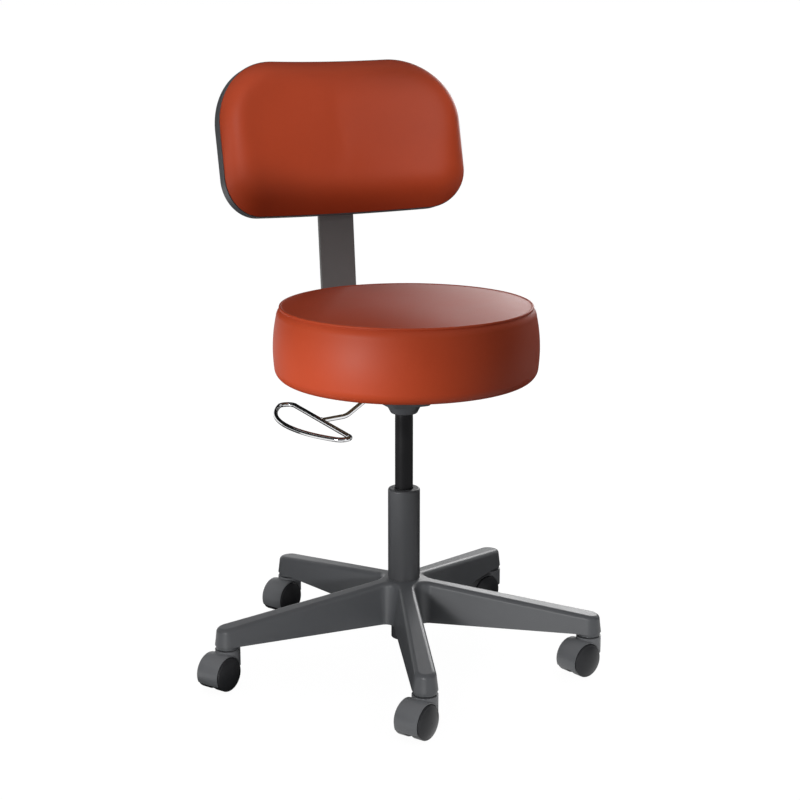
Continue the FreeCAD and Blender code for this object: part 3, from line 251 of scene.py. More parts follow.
def grained_finish(name, dark, light, smooth, rough, grains, strength, patches=9.0, gloss=0.3):
    """Nylon, powder coat or rubber: two close tones, a cloudy gloss and a fine grain."""
    finish, tree, shader = start_finish(name)
    tone = use_group(tree, cloudy_tone, Patches_per_metre=patches).outputs["Tone"]
    grain = use_group(tree, mould_grain, Grains_per_metre=grains).outputs["Height"]
    two_tone(tree, shader, tone, dark, light)
    tree.links.new(spread(tree, tone, 0.0, 1.0, smooth, rough), shader.inputs["Roughness"])
    raise_surface(tree, shader, grain, strength, 0.0002)
    shader.inputs["Specular IOR Level"].default_value = gloss
    return finish


print("finish helpers ready")

# %% [markdown]
# The base, the hoods of the casters and the back's shell are glass-filled nylon, moulded in charcoal
# with a fine grain. The wheels are smoother and nearly black. The column, the upright and the plate
# are steel under satin paint, and the pressure tube is a glossier black.

# %% Charcoal and black finishes
base_nylon = grained_finish(
    "charcoal_nylon", (0.099, 0.104, 0.112), (0.114, 0.119, 0.127),
    smooth=0.34, rough=0.43, grains=1500.0, strength=0.25, gloss=0.5)
# Painted light: the hoods are the base's nylon made lighter, standing in for the light their rounded
# tops catch.
hood_nylon_painted_lighter = grained_finish(
    "caster_nylon", (0.168, 0.174, 0.184), (0.188, 0.194, 0.204),
    smooth=0.34, rough=0.42, grains=1900.0, strength=0.15, gloss=0.5)
wheel_nylon = grained_finish(
    "wheel_nylon", (0.029, 0.030, 0.033), (0.038, 0.039, 0.042),
    smooth=0.34, rough=0.44, grains=2200.0, strength=0.12, patches=40.0, gloss=0.25)
shell_nylon = grained_finish(
    "shell_nylon", (0.098, 0.102, 0.109), (0.112, 0.116, 0.123),
    smooth=0.42, rough=0.54, grains=1300.0, strength=0.25)
column_paint = grained_finish(
    "column_paint", (0.064, 0.066, 0.071), (0.073, 0.075, 0.080),
    smooth=0.38, rough=0.46, grains=2600.0, strength=0.10, patches=14.0)
upright_paint = grained_finish(
    "upright_paint", (0.154, 0.153, 0.153), (0.170, 0.169, 0.169),
    smooth=0.46, rough=0.56, grains=2300.0, strength=0.20, patches=14.0)
plate_paint = grained_finish(
    "plate_paint", (0.045, 0.047, 0.052), (0.056, 0.058, 0.063),
    smooth=0.40, rough=0.54, grains=2000.0, strength=0.20, patches=20.0)
tube_paint = grained_finish(
    "tube_paint", (0.007, 0.007, 0.008), (0.010, 0.010, 0.011),
    smooth=0.32, rough=0.40, grains=3000.0, strength=0.05, patches=20.0, gloss=0.12)
stop_rubber = grained_finish(
    "stop_rubber", (0.014, 0.014, 0.014), (0.024, 0.024, 0.024),
    smooth=0.70, rough=0.85, grains=1700.0, strength=0.35, patches=60.0)
slide_plastic = grained_finish(
    "slide_plastic", (0.27, 0.27, 0.26), (0.34, 0.34, 0.33),
    smooth=0.42, rough=0.55, grains=1800.0, strength=0.15, patches=50.0)
print("moulded and painted finishes made")

# %% [markdown]
# Bright steel and chrome show what stands round them, so their colour hardly matters and their
# roughness matters most. Turned steel carries fine tool lines. The lever's chrome is smooth, with only
# a breath of smudging where a hand holds it.

# %% Metal finishes
def turned_finish(name, dark, light, smooth, rough):
    finish, tree, shader = start_finish(name)
    line = use_group(tree, drawn_lines).outputs["Line"]
    two_tone(tree, shader, line, dark, light)
    tree.links.new(spread(tree, line, 0.0, 1.0, smooth, rough), shader.inputs["Roughness"])
    raise_surface(tree, shader, line, 0.08, 0.0001)
    shader.inputs["Metallic"].default_value = 1.0
    return finish


def chrome_finish():
    finish, tree, shader = start_finish("lever_chrome")
    smudge = use_group(tree, cloudy_tone, Patches_per_metre=45.0).outputs["Tone"]
    two_tone(tree, shader, smudge, (0.74, 0.745, 0.76), (0.83, 0.835, 0.845))
    tree.links.new(spread(tree, smudge, 0.0, 1.0, 0.03, 0.10), shader.inputs["Roughness"])
    shader.inputs["Metallic"].default_value = 1.0
    return finish


bright_steel = turned_finish("turned_steel", (0.46, 0.46, 0.47), (0.60, 0.60, 0.61), 0.20, 0.36)
piston_alloy = turned_finish("piston_alloy", (0.62, 0.62, 0.63), (0.72, 0.72, 0.73), 0.24, 0.40)
lever_chrome = chrome_finish()
print("metal finishes made")

# %% [markdown]
# The boards inside the seat and the back are raw plywood, seen only from below or behind. Growth rings
# are drawn as bands along one direction, bent by noise, and darker thin lines stand for the pores.

# %% Plywood
def plywood_finish():
    finish, tree, shader = start_finish("raw_plywood")
    place = add_node(tree, "ShaderNodeTexCoord")
    squeeze = add_node(tree, "ShaderNodeMapping")
    squeeze.inputs["Scale"].default_value = (1.0, 0.12, 1.0)
    grain = add_node(tree, "ShaderNodeTexNoise")
    grain.inputs["Scale"].default_value = 70.0
    grain.inputs["Detail"].default_value = 6.0
    grain.inputs["Distortion"].default_value = 1.2
    tree.links.new(place.outputs["Object"], squeeze.inputs["Vector"])
    tree.links.new(squeeze.outputs["Vector"], grain.inputs["Vector"])
    band = spread(tree, grain.outputs["Fac"], 0.35, 0.65, 0.0, 1.0)
    two_tone(tree, shader, band, (0.40, 0.25, 0.13), (0.62, 0.45, 0.28))
    tree.links.new(spread(tree, band, 0.0, 1.0, 0.72, 0.58), shader.inputs["Roughness"])
    raise_surface(tree, shader, band, 0.15, 0.0003)
    return finish


plywood = plywood_finish()
print("finish:", plywood.name)

# %% [markdown]
# The cover is rust-red vinyl with a soft satin gloss. Painted shade makes its colour darker in the
# valleys of the pebbled grain. The colour also drifts slowly over the panel, and its gloss is a little
# uneven. Seen at a low angle, as on the seat's top, that gloss mirrors the bright backdrop, so no
# separate sheen is needed.

# %% Vinyl
def vinyl_finish():
    finish, tree, shader = start_finish("rust_vinyl")
    tone = use_group(tree, cloudy_tone, Patches_per_metre=5.0).outputs["Tone"]
    pebble = use_group(tree, vinyl_pebble, Pebbles_per_metre=820.0)
    # Painted shade: the colour is darkened in the valleys of the grain.
    shade = combine(tree, "MULTIPLY", pebble.outputs["Valley"], 0.35)
    lightness = add_node(tree, "ShaderNodeMath", operation="SUBTRACT", use_clamp=True)
    tree.links.new(tone, lightness.inputs[0])
    tree.links.new(shade, lightness.inputs[1])
    two_tone(tree, shader, lightness.outputs[0], (0.385, 0.0465, 0.0125), (0.425, 0.0525, 0.0145))
    tree.links.new(spread(tree, tone, 0.0, 1.0, 0.48, 0.56), shader.inputs["Roughness"])
    raise_surface(tree, shader, pebble.outputs["Height"], 0.12, 0.0002)
    shader.inputs["Specular IOR Level"].default_value = 0.22
    return finish


rust_vinyl = vinyl_finish()
print("finish:", rust_vinyl.name)

# %% [markdown]
# Now the rigid pieces get their finishes. A piece is found by its name, and only its material slot is
# changed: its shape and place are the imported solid's.

# %% Dress the rigid pieces
dressing = {
    base_nylon: ["base_star"],
    hood_nylon_painted_lighter: [name for name in nodes if name.startswith("caster_hood")],
    wheel_nylon: [name for name in nodes if name.startswith("caster_wheel")],
    shell_nylon: ["back_shell", "bar_sleeve", "clamp_knob"],
    column_paint: ["stand_tube"],
    upright_paint: ["back_bar"],
    plate_paint: ["seat_plate"],
    tube_paint: ["pressure_tube"],
    stop_rubber: ["bump_stop"],
    slide_plastic: ["guide_bush", "bearing_cage", "rod_seal"],
    piston_alloy: ["piston_head"],
    lever_chrome: ["lever_loop", "lever_rod"],
    plywood: ["seat_board", "back_board"],
    rust_vinyl: ["seat_cushion", "back_cushion"],
}
dressed = {name for names in dressing.values() for name in names}
dressing[bright_steel] = [name for name in nodes if name not in dressed]
for finish, names in dressing.items():
    for name in names:
        nodes[name].data.materials.clear()
        nodes[name].data.materials.append(finish)
print("dressed:", sum(len(names) for names in dressing.values()), "pieces")

# %% [markdown]
# Both cushions are closed covers. Each has a field of quads, which is a square grid pushed out into a
# round or rounded shape so that no point has a fan of triangles, and rings of quads round its side.
# Vertices are worked out with arrays, because then the shape follows from a few sizes.

# %% A square grid pushed out into a disc
def disc_grid(half):
    """Places of a grid as (ring, share of a turn), its quads, and the outer ring in order."""
    size = 2 * half + 1
    rings = np.zeros(size * size, int)
    turns = np.zeros(size * size)
    for row in range(-half, half + 1):
        for column in range(-half, half + 1):
            ring = max(abs(row), abs(column))
            if ring == 0:
                angle = 0.0
            elif abs(column) >= abs(row):
                angle = math.pi / 4 * row / column + (math.pi if column < 0 else 0.0)
            else:
                angle = math.pi / 2 - math.pi / 4 * column / row + (math.pi if row < 0 else 0.0)
            place = (row + half) * size + column + half
            rings[place] = ring
            turns[place] = (angle / (2 * math.pi)) % 1.0
    quads = []
    for row in range(size - 1):
        for column in range(size - 1):
            first = row * size + column
            quads.append((first, first + 1, first + size + 1, first + size))
    outer = np.where(rings == half)[0]
    outer = outer[np.argsort(np.round(turns[outer] * 8 * half).astype(int) % (8 * half))]
    return rings, turns, quads, outer


def joined_rings(upper, lower):
    """Quads between two rings of the same length, facing outwards."""
    count = len(upper)
    return [(upper[i], lower[i], lower[(i + 1) % count], upper[(i + 1) % count]) for i in range(count)]


def new_piece(name, points, faces, finish):
    mesh = bpy.data.meshes.new(name)
    corners = [tuple(int(i) for i in face) for face in faces]
    mesh.from_pydata([tuple(point) for point in points], [], corners)
    mesh.update()
    mesh.materials.append(finish)
    piece = bpy.data.objects.new(name, mesh)
    scene.collection.objects.link(piece)
    return piece


print("grid of 4 by 4 has", len(disc_grid(2)[2]), "quads")

# %% [markdown]
# A sewn cover is held along its seams and where it is stapled, and the foam presses it out between
# them. Blender's cloth does just that: seam points are pinned, gravity is off and an even pressure
# swells the rest. A cover made from a finished shape would come out too big, so it starts slack. The
# movement is then scaled to the wanted swell and smoothed, which keeps each run alike.

# %% Swell a cover with cloth
def smooth_move(mesh, move, held, rounds):
    """Even out a movement over neighbouring points, with the held points at rest."""
    pairs = np.array([edge.vertices[:] for edge in mesh.edges])
    count = np.zeros(len(move))
    np.add.at(count, pairs.ravel(), 1.0)
    for _ in range(rounds):
        total = np.zeros_like(move)
        np.add.at(total, pairs[:, 0], move[pairs[:, 1]])
        np.add.at(total, pairs[:, 1], move[pairs[:, 0]])
        move = 0.5 * move + 0.5 * total / count[:, None]
        move[held] = 0.0
    return move


def swell_cover(piece, held, pressure, most):
    """Blow the cover up between its held points, by no more than a given distance."""
    mesh = piece.data
    rest = np.array([vertex.co[:] for vertex in mesh.vertices])
    pins = piece.vertex_groups.new(name="sewn_down")
    pins.add([int(i) for i in held], 1.0, "REPLACE")
    cloth = piece.modifiers.new("cover", "CLOTH")
    settings = cloth.settings
    settings.quality = 6
    settings.mass = 0.4
    settings.tension_stiffness = 60.0
    settings.compression_stiffness = 60.0
    settings.shear_stiffness = 30.0
    settings.bending_stiffness = 8.0
    settings.use_pressure = True
    settings.uniform_pressure_force = pressure
    settings.vertex_group_mass = pins.name
    settings.effector_weights.gravity = 0.0
    frames = 20
    cloth.point_cache.frame_end = frames
    for frame_number in range(1, frames + 1):
        scene.frame_set(frame_number)
    shaped = piece.evaluated_get(bpy.context.evaluated_depsgraph_get()).to_mesh()
    move = np.array([vertex.co[:] for vertex in shaped.vertices]) - rest
    piece.modifiers.remove(cloth)
    piece.vertex_groups.clear()
    scene.frame_set(1)
    move = smooth_move(mesh, move, held, rounds=12)
    length = np.linalg.norm(move, axis=1)
    reach = np.percentile(length, 99.5)
    move *= min(1.0, most / max(reach, 1e-9))
    length = np.linalg.norm(move, axis=1)
    move *= np.minimum(1.0, most / np.maximum(length, 1e-9))[:, None]
    for vertex, place in zip(mesh.vertices, rest + move):
        vertex.co = place
    mesh.update()
    return float(reach)


def finish_cover(piece):
    """Smooth the cover with one subdivision and keep the result as its mesh."""
    divide = piece.modifiers.new("smooth", "SUBSURF")
    divide.levels = 1
    divide.render_levels = 1
    shaped = bpy.data.meshes.new_from_object(piece.evaluated_get(bpy.context.evaluated_depsgraph_get()))
    piece.modifiers.clear()
    piece.data = shaped
    shaped.shade_smooth()
    print(piece.name, "has", len(shaped.polygons), "faces")


print("cover helpers ready")

# %% [markdown]
# The seat is a drum of foam on a board. A boxing band runs round its side, a round panel lies on top,
# and the two are sewn together with their edges turned in, which leaves a narrow raised roll at the
# rim with a dark crease under it. Below, the band is pulled round the board and stapled. The outline
# of the band is drawn once, as points of radius and height, and turned about the seat's middle.

# %% Sizes of the seat
seat_low, seat_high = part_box("seat_cushion")
board_low, board_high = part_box("seat_board")
seat_middle = (seat_low + seat_high) / 2
seat_radius = (seat_high.x - seat_low.x) / 2
board_gap = 0.0003
pocket_radius = (board_high.x - board_low.x) / 2 + board_gap
seat_floor = seat_low.z
pocket_top = board_high.z + board_gap
seat_crown = 0.009
seam_height = seat_high.z - seat_crown
seam_radius = 0.1918
roll_radius = 0.0013
print("seat radius", round(seat_radius, 4), "seam height", round(seam_height, 4))

# %% Outline of the band, from the rolled seam down to the board
def arc_through(first, middle, last, count):
    """Points on the circle through three points, without the first."""
    (ax, ay), (bx, by), (cx, cy) = first, middle, last
    d = 2 * (ax * (by - cy) + bx * (cy - ay) + cx * (ay - by))
    ux = ((ax**2 + ay**2) * (by - cy) + (bx**2 + by**2) * (cy - ay) + (cx**2 + cy**2) * (ay - by)) / d
    uy = ((ax**2 + ay**2) * (cx - bx) + (bx**2 + by**2) * (ax - cx) + (cx**2 + cy**2) * (bx - ax)) / d
    radius = math.hypot(ax - ux, ay - uy)
    angles = np.unwrap([math.atan2(y - uy, x - ux) for x, y in (first, middle, last)])
    return [(ux + radius * math.cos(a), uy + radius * math.sin(a))
            for a in np.linspace(angles[0], angles[2], count + 1)[1:]]


roll_inner = (seam_radius - 2 * roll_radius, seam_height)
crease = (seam_radius - 0.0002, seam_height - 2 * roll_radius - 0.0004)
shoulder = (seam_radius + 0.0058, seam_height - 0.0150)
tuck = 0.0195
waist = (seat_radius - 0.0026, seat_floor + tuck)
band = [roll_inner]
band += arc_through(band[-1], (seam_radius + roll_radius, seam_height - roll_radius), crease, 9)
roll_end = len(band)
band += arc_through(band[-1], (seam_radius + 0.0037, seam_height - 0.0078), shoulder, 7)
band += arc_through(band[-1], (seat_radius - 0.0012, seat_floor + 0.055), waist, 18)
stapled_from = len(band) + 6
turn_in = (waist[0] - tuck * (1 - math.sqrt(0.5)), waist[1] - tuck * math.sqrt(0.5))
band += arc_through(band[-1], turn_in, (waist[0] - tuck, seat_floor), 10)
band += [(pocket_radius, seat_floor), (pocket_radius, pocket_top)]
print("band outline has", len(band), "points")

# %% Seat cover
def seat_cover():
    half = 24
    rings, turns, quads, outer = disc_grid(half)
    share = rings / half
    slack_crown = 0.005
    dip_depth, dip_inset, dip_width = 0.0005, 0.003, 0.0022
    rim_radius, rim_height = band[0]
    radius = share * rim_radius
    dip = -dip_depth * np.exp(-((radius - rim_radius + dip_inset) / dip_width) ** 2)
    height = rim_height + slack_crown * (1 - share**2) + dip * (share < 1)
    angle = 2 * math.pi * turns
    points = [np.stack([radius * np.cos(angle), radius * np.sin(angle), height], axis=1)]
    faces = list(quads)
    count = len(outer)
    start = len(angle)
    around = 2 * math.pi * np.arange(count) / count
    upper = list(outer)
    held = [int(i) for i in outer]
    for step, (r, z) in enumerate(band[1:], start=1):
        points.append(np.stack([r * np.cos(around), r * np.sin(around), np.full(count, z)], axis=1))
        lower = list(range(start, start + count))
        faces += joined_rings(upper, lower)
        if step < roll_end or step > stapled_from:
            held += lower
        upper = lower
        start += count
    faces.append(tuple(reversed(upper)))
    places = np.concatenate(points) + np.array([seat_middle.x, seat_middle.y, 0.0])
    return new_piece("seat_cover", places, faces, rust_vinyl), np.array(held)


seat_cover_piece, seat_held = seat_cover()
swelled = swell_cover(seat_cover_piece, seat_held, pressure=4.0, most=0.004)
print("seat cloth moved", round(swelled * 1000, 2), "mm before the cap")
finish_cover(seat_cover_piece)
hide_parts("seat_cushion")
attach(seat_cover_piece, "seat")

# %% [markdown]
# The back cushion is a foam pad with rounded edges in a tray, bent round the sitter. It has no seam on
# its front. Its outline is a rectangle with large corners at the top and smaller ones below, and its
# depth grows from the rim in a soft round that runs further in at the lower edge, where the foam is
# drawn down most, and then crowns gently. All of it is worked out flat, in the back's own directions,
# and then bent and leaned by the same sizes as the shell.

# %% Sizes and directions of the back
back_middle = Vector(joints["knob_turn"]["pos_m"])
back_out = Vector(joints["knob_turn"]["axis"])
back_up = Vector(joints["back_height"]["axis"])
bend_radius = 0.620
pad_half_x = 0.20775
pad_half_z = 0.1229
top_corner = 0.1089
low_corner = 0.0595
tray_depth = 0.022
pad_rear = tray_depth + 0.0003
pad_front = tray_depth + 0.030
pad_crown = 0.005
pad_round = 0.0288
pad_tuck = 0.0015
print("back leans", round(math.degrees(math.atan2(back_up.y, back_up.z)), 2), "degrees")

# %% Outline of the pad
def pad_outline():
    """Points round the pad, from the middle of its right side, as x and z."""
    line = []
    for centre_x, centre_z, radius, start in (
            (pad_half_x - top_corner, pad_half_z - top_corner, top_corner, 0),
            (top_corner - pad_half_x, pad_half_z - top_corner, top_corner, 90),
            (low_corner - pad_half_x, low_corner - pad_half_z, low_corner, 180),
            (pad_half_x - low_corner, low_corner - pad_half_z, low_corner, 270)):
        for degrees in np.linspace(start, start + 90, 61):
            turn = math.radians(degrees)
            line.append((centre_x + radius * math.cos(turn), centre_z + radius * math.sin(turn)))
    return np.array(line)


def along_outline(line, turns):
    """Points at shares of a turn, even along the line, with 0 at the middle of the right side."""
    closed = np.vstack([line, line[:1]])
    steps = np.concatenate([[0.0], np.cumsum(np.linalg.norm(np.diff(closed, axis=0), axis=1))])
    right_side = closed[-1] - closed[-2]
    first = steps[-1] - np.linalg.norm(right_side) / 2
    where = (first + np.asarray(turns) * steps[-1]) % steps[-1]
    return np.stack([np.interp(where, steps, closed[:, k]) for k in (0, 1)], axis=1)


def distance_to(line, places):
    """Distance of each place from the outline."""
    closed = np.vstack([line, line[:1]])
    least = np.full(len(places), 1e9)
    for first, second in zip(closed[:-1], closed[1:]):
        run = second - first
        length = max(run @ run, 1e-18)
        share = np.clip((places - first) @ run / length, 0.0, 1.0)
        least = np.minimum(least, np.linalg.norm(places - first - share[:, None] * run, axis=1))
    return least


def set_on_back(x, depth, z):
    """Row-frame places from the back's own across, depth and up."""
    out = -bend_radius + np.sqrt((bend_radius - depth) ** 2 - x**2)
    return (np.array(back_middle)[None] + x[:, None] * np.array([1.0, 0.0, 0.0])
            + out[:, None] * np.array(back_out) + z[:, None] * np.array(back_up))


print("pad outline has", len(pad_outline()), "points")

# %% Back cover
def back_cover():
    half = 32
    edge_rings = 14
    rings, turns, quads, outer = disc_grid(half)
    line = pad_outline()
    rim = along_outline(line, turns)
    centre = np.array([0.0, -0.006])
    inside = 0.074
    step = np.clip((half - rings) / edge_rings, 0.0, 1.0)
    narrow = 1 - inside / pad_half_z
    near_rim = 1 - (1 - narrow) * (1 - np.cos(step * math.pi / 2))
    share = np.where(rings >= half - edge_rings, near_rim, narrow * rings / (half - edge_rings))
    flat = centre + share[:, None] * (rim - centre)
    # At the bottom, the middle and the top: how far in the round runs, and how sharply it turns.
    levels = [-pad_half_z, 0.0, pad_half_z]
    run = np.interp(flat[:, 1], levels, [0.073, 0.046, 0.040])
    power = np.interp(flat[:, 1], levels, [2.5, 3.0, 3.0])
    reach = np.minimum(distance_to(line, flat) / run, 1.0)
    reach[outer] = 0.0
    slack = 0.003
    crown = (pad_crown - slack) * (1 - (flat[:, 1] / (pad_half_z + low_corner)) ** 2)
    depth = pad_front + crown - pad_round * (1 - reach) ** power
    points = [set_on_back(flat[:, 0], depth, flat[:, 1])]
    faces = list(quads)
    held = [int(i) for i in outer]
    count = len(outer)
    edge = rim[outer]
    inward = centre - edge
    inward /= np.linalg.norm(inward, axis=1)[:, None]
    start = len(flat)
    upper = list(outer)
    corner = [(pad_tuck * (1 - math.cos(a)), pad_rear + pad_tuck * (1 - math.sin(a)))
              for a in np.linspace(0, math.pi / 2, 5)]
    side_level = pad_rear + 0.6 * (pad_front - pad_round - pad_rear)
    for draw_in, level in [(0.0, side_level)] + corner:
        ring = edge + draw_in * inward
        points.append(set_on_back(ring[:, 0], np.full(count, level), ring[:, 1]))
        lower = list(range(start, start + count))
        faces += joined_rings(upper, lower)
        held += lower
        upper = lower
        start += count
    rear_share = rings / half
    mean_half = 0.16
    rear = centre + rear_share[:, None] * (rim - centre) * (1 - pad_tuck / mean_half)
    inner = np.where(rings < half)[0]
    number = np.zeros(len(rings), int)
    number[inner] = start + np.arange(len(inner))
    number[outer] = upper
    points.append(set_on_back(rear[inner, 0], np.full(len(inner), pad_rear), rear[inner, 1]))
    faces += [tuple(number[i] for i in reversed(quad)) for quad in quads]
    held += list(range(start, start + len(inner)))
    return new_piece("back_cover", np.concatenate(points), faces, rust_vinyl), np.array(held)


back_cover_piece, back_held = back_cover()
swelled = swell_cover(back_cover_piece, back_held, pressure=4.0, most=0.003)
print("back cloth moved", round(swelled * 1000, 2), "mm before the cap")
finish_cover(back_cover_piece)
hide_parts("back_cushion")
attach(back_cover_piece, "backrest")

# %% [markdown]
# The lever's rod is welded to the loop. A weld is a small rope of metal that lies in the corner where
# two round wires meet. That corner is a curve with a simple formula, so the bead is a tube of rings
# along it, with a slight ripple from the welder's steps.

# %% Weld on the lever
def lever_weld():
    loop_low, loop_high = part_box("lever_loop")
    wire = (loop_high.z - loop_low.z) / 2
    bar_x = loop_high.x - wire
    level = (loop_low.z + loop_high.z) / 2
    count, sides = 72, 10
    bead, ripple, steps = 0.0012, 0.16, 9
    ease = 0.02
    turn = 2 * math.pi * np.arange(count) / count
    line = np.stack([bar_x + wire * np.sqrt(np.cos(turn) ** 2 + ease), wire * np.cos(turn),
                     level + wire * np.sin(turn)], axis=1)
    ahead = np.roll(line, -1, axis=0) - np.roll(line, 1, axis=0)
    ahead /= np.linalg.norm(ahead, axis=1)[:, None]
    side = np.cross(ahead, np.array([1.0, 0.0, 0.0]))
    side /= np.linalg.norm(side, axis=1)[:, None]
    over = np.cross(side, ahead)
    thick = bead * (1 + ripple * np.sin(steps * turn))
    points, faces = [], []
    for k in range(sides):
        a = 2 * math.pi * k / sides
        points.append(line + thick[:, None] * (math.cos(a) * side + math.sin(a) * over))
    for k in range(sides):
        first = np.arange(count) + k * count
        second = np.arange(count) + (k + 1) % sides * count
        faces += joined_rings(list(second), list(first))
    return new_piece("lever_weld", np.concatenate(points), faces, lever_chrome)


weld = lever_weld()
finish_cover(weld)
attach(weld, "lever")

# %% [markdown]
# The stool stands in a white studio. The floor is a wide pale sheet: the camera and shiny surfaces see
# it as paper-white with a soft shadow, while it still throws only plain light back at the stool, so it
# isn't counted among the lamps. The world is white to the camera in the same way. As a lamp it is
# dimmer, brightest overhead and nearly dark at the horizon, like a room with its light in the ceiling,
# which leaves the undersides of the cushions dark.

# %% Floor and world
def studio_rays(tree):
    """1 for rays from the camera, from shiny surfaces and through glass."""
    path = add_node(tree, "ShaderNodeLightPath")
    seen = combine(tree, "MAXIMUM", path.outputs["Is Camera Ray"], path.outputs["Is Glossy Ray"])
    return combine(tree, "MAXIMUM", seen, path.outputs["Is Transmission Ray"])


def floor_finish():
    finish = bpy.data.materials.new("studio_floor")
    finish.use_nodes = True
    tree = finish.node_tree
    tree.nodes.clear()
    finish.cycles.emission_sampling = "NONE"
    paper = add_node(tree, "ShaderNodeBsdfDiffuse")
    paper.inputs["Color"].default_value = (0.08, 0.08, 0.08, 1.0)
    white = add_node(tree, "ShaderNodeEmission")
    white.inputs["Strength"].default_value = 0.965
    seen = add_node(tree, "ShaderNodeAddShader")
    plain = add_node(tree, "ShaderNodeBsdfDiffuse")
    plain.inputs["Color"].default_value = (0.12, 0.12, 0.12, 1.0)
    mix = add_node(tree, "ShaderNodeMixShader")
    leave = add_node(tree, "ShaderNodeOutputMaterial")
    tree.links.new(paper.outputs[0], seen.inputs[0])
    tree.links.new(white.outputs[0], seen.inputs[1])
    tree.links.new(studio_rays(tree), mix.inputs[0])
    tree.links.new(plain.outputs[0], mix.inputs[1])
    tree.links.new(seen.outputs[0], mix.inputs[2])
    tree.links.new(mix.outputs[0], leave.inputs["Surface"])
    return finish


def card(name, corners, finish):
    """Flat four-cornered stage piece."""
    piece = new_piece(name, corners, [(0, 1, 2, 3)], finish)
    return piece


far = 120.0
floor_corners = [(-far, -far, 0), (far, -far, 0), (far, far, 0), (-far, far, 0)]
card("studio_floor", floor_corners, floor_finish())


def white_world():
    world = bpy.data.worlds.new("studio")
    scene.world = world
    world.use_nodes = True
    tree = world.node_tree
    tree.nodes.clear()
    lamp = add_node(tree, "ShaderNodeBackground")
    lamp.inputs["Color"].default_value = (1.0, 1.0, 1.0, 1.0)
    place = add_node(tree, "ShaderNodeTexCoord")
    parts = add_node(tree, "ShaderNodeSeparateXYZ")
    tree.links.new(place.outputs["Generated"], parts.inputs["Vector"])
    tree.links.new(spread(tree, parts.outputs["Z"], 0.0, 0.8, 0.05, 0.72), lamp.inputs["Strength"])
    white = add_node(tree, "ShaderNodeBackground")
    white.inputs["Strength"].default_value = 1.0
    white.inputs["Color"].default_value = (1.0, 1.0, 1.0, 1.0)
    mix = add_node(tree, "ShaderNodeMixShader")
    leave = add_node(tree, "ShaderNodeOutputWorld")
    tree.links.new(studio_rays(tree), mix.inputs[0])
    tree.links.new(lamp.outputs[0], mix.inputs[1])
    tree.links.new(white.outputs[0], mix.inputs[2])
    tree.links.new(mix.outputs[0], leave.inputs["Surface"])


white_world()
print("floor and world set")

# %% [markdown]
# The photograph's camera was worked out from the column's known width and the circles of the seat and
# the base. It stands about two and a half metres away, a metre up, and looks a little down.

# %% Camera
camera_data = bpy.data.cameras.new("camera")
camera_data.lens = 77.0
camera_data.sensor_width = 36.0
camera = bpy.data.objects.new("camera", camera_data)
scene.collection.objects.link(camera)
look_down = math.radians(13.46)
look = math.radians(-25.2)
camera.location = (-1.0956, -2.3137, 1.0298)
camera.rotation_euler = (math.radians(90) - look_down, 0.0, look)
scene.camera = camera
print("camera at", tuple(round(x, 3) for x in camera.location))

# %% [markdown]
# Five soft boxes do the lighting, each with its own job. The key at the left makes the bright band on
# the seat's side. A low wide one lifts the base and the casters. A narrow beam from the front falls on
# the back alone and leaves its top and bottom rounds dark, and a slim one from the left draws the light
# along its left edge. The last stands behind on the right and gives the seat's top its sheen. One big
# lamp could light it all, but then every round would be equally bright and the forms would go flat.

# %% Lamps
def aim(piece, at):
    piece.rotation_euler = (Vector(at) - piece.location).to_track_quat("-Z", "Y").to_euler()


def soft_box(name, place, at, size, watts, spread=180.0):
    data = bpy.data.lights.new(name, "AREA")
    data.shape = "RECTANGLE"
    data.size, data.size_y = size
    data.energy = watts
    data.spread = math.radians(spread)
    lamp = bpy.data.objects.new(name, data)
    scene.collection.objects.link(lamp)
    lamp.location = place
    lamp.visible_camera = False
    aim(lamp, at)
    return lamp


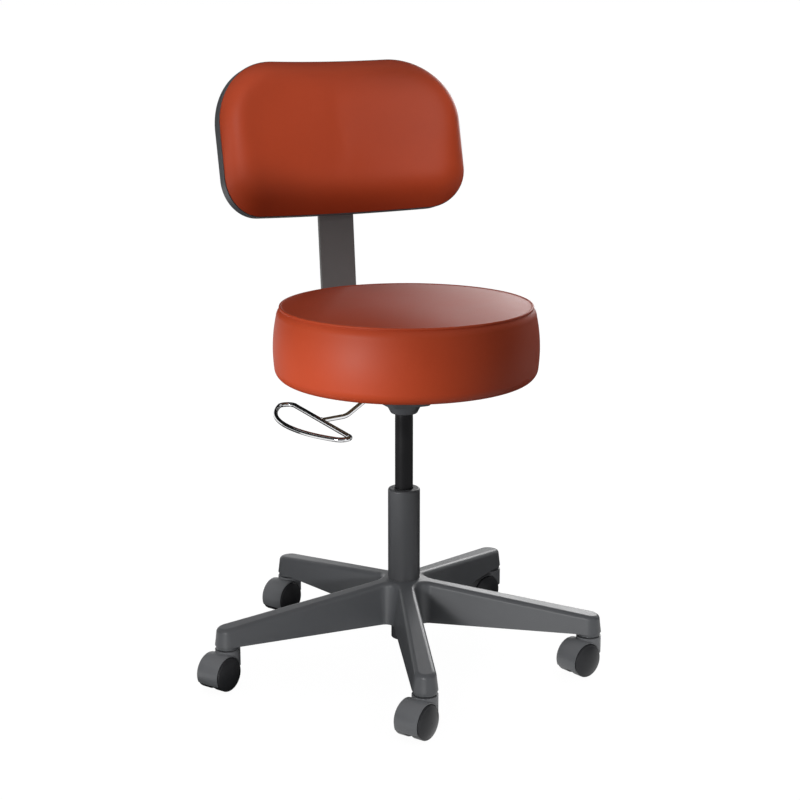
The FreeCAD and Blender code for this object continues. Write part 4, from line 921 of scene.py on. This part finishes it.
soft_box("key_box", place=(-1.12, -0.42, 0.52), at=(0.0, 0.0, 0.42),
         size=(0.6, 0.2), watts=0.78, spread=32.0)
soft_box("base_box", place=(-1.55, -1.90, 0.42), at=(0.0, -0.05, 0.05),
         size=(1.3, 0.1), watts=0.33, spread=12.0)
soft_box("back_box", place=(-0.52, -1.68, 1.73), at=(0.0, 0.25, 0.806),
         size=(0.6, 0.19), watts=0.19, spread=2.8)
soft_box("edge_box", place=(-1.30, -0.25, 0.80), at=(-0.20, 0.20, 0.80),
         size=(0.06, 0.3), watts=0.02, spread=5.0)
soft_box("rim_box", place=(1.67, 1.90, 1.05), at=(0.1, 0.0, 0.55),
         size=(1.2, 0.8), watts=20.0)

# %% [markdown]
# Dark cards, which only shiny surfaces see, stand for the unlit room. They draw the dark lines in the
# chrome, keep the black tube black and let the sheen on the seat's top fade to the left. The two that
# lie
# flat on the floor are a painted shadow: they darken the floor's reflection under and behind the stool.

# %% Dark cards
def dark_card(name, centre, width, tall, turn=look, flat=False):
    """Dark card that only shiny surfaces see, upright or lying flat."""
    finish = bpy.data.materials.new(name)
    finish.use_nodes = True
    shader = finish.node_tree.nodes["Principled BSDF"]
    shader.inputs["Base Color"].default_value = (0.01, 0.01, 0.01, 1.0)
    shader.inputs["Roughness"].default_value = 1.0
    middle = Vector(centre)
    across = Vector((math.cos(turn), math.sin(turn), 0.0)) * width / 2
    up = Vector((-math.sin(turn), math.cos(turn), 0.0)) if flat else Vector((0.0, 0.0, 1.0))
    up *= tall / 2
    low, high = middle - up, middle + up
    piece = card(name, [low - across, low + across, high + across, high - across], finish)
    piece.visible_camera = False
    piece.visible_diffuse = False
    piece.visible_shadow = False
    piece.visible_transmission = False
    return piece


sideways = look + math.pi / 2
dark_card("front_card", (-1.9, -4.0, 1.6), 7.0, 3.2)
dark_card("left_card", (-3.6, 1.4, 1.6), 6.0, 3.2, sideways)
dark_card("behind_card", (-0.62, 1.32, 0.97), 2.7, 0.9)
dark_card("low_card", (1.66, 1.06, 0.31), 2.5, 0.62)
dark_card("right_card", (3.0, -1.7, 1.6), 4.0, 3.2, sideways)
dark_card("over_card", (0.0, 0.0, 3.2), 7.0, 7.0, flat=True)
# Painted shadow: these two flat cards darken the floor under and behind the stool, as shiny surfaces see
# it.
dark_card("floor_shadow_card", (0.38, 0.80, 0.002), 2.4, 1.5, flat=True)
dark_card("hub_shadow_card", (-0.136, 0.003, 0.002), 0.45, 0.39, flat=True)
print("dark cards set")

# %% [markdown]
# Last, the render's colours are shown through the plain Standard view.

# %% View transform
scene.view_settings.view_transform = "Standard"
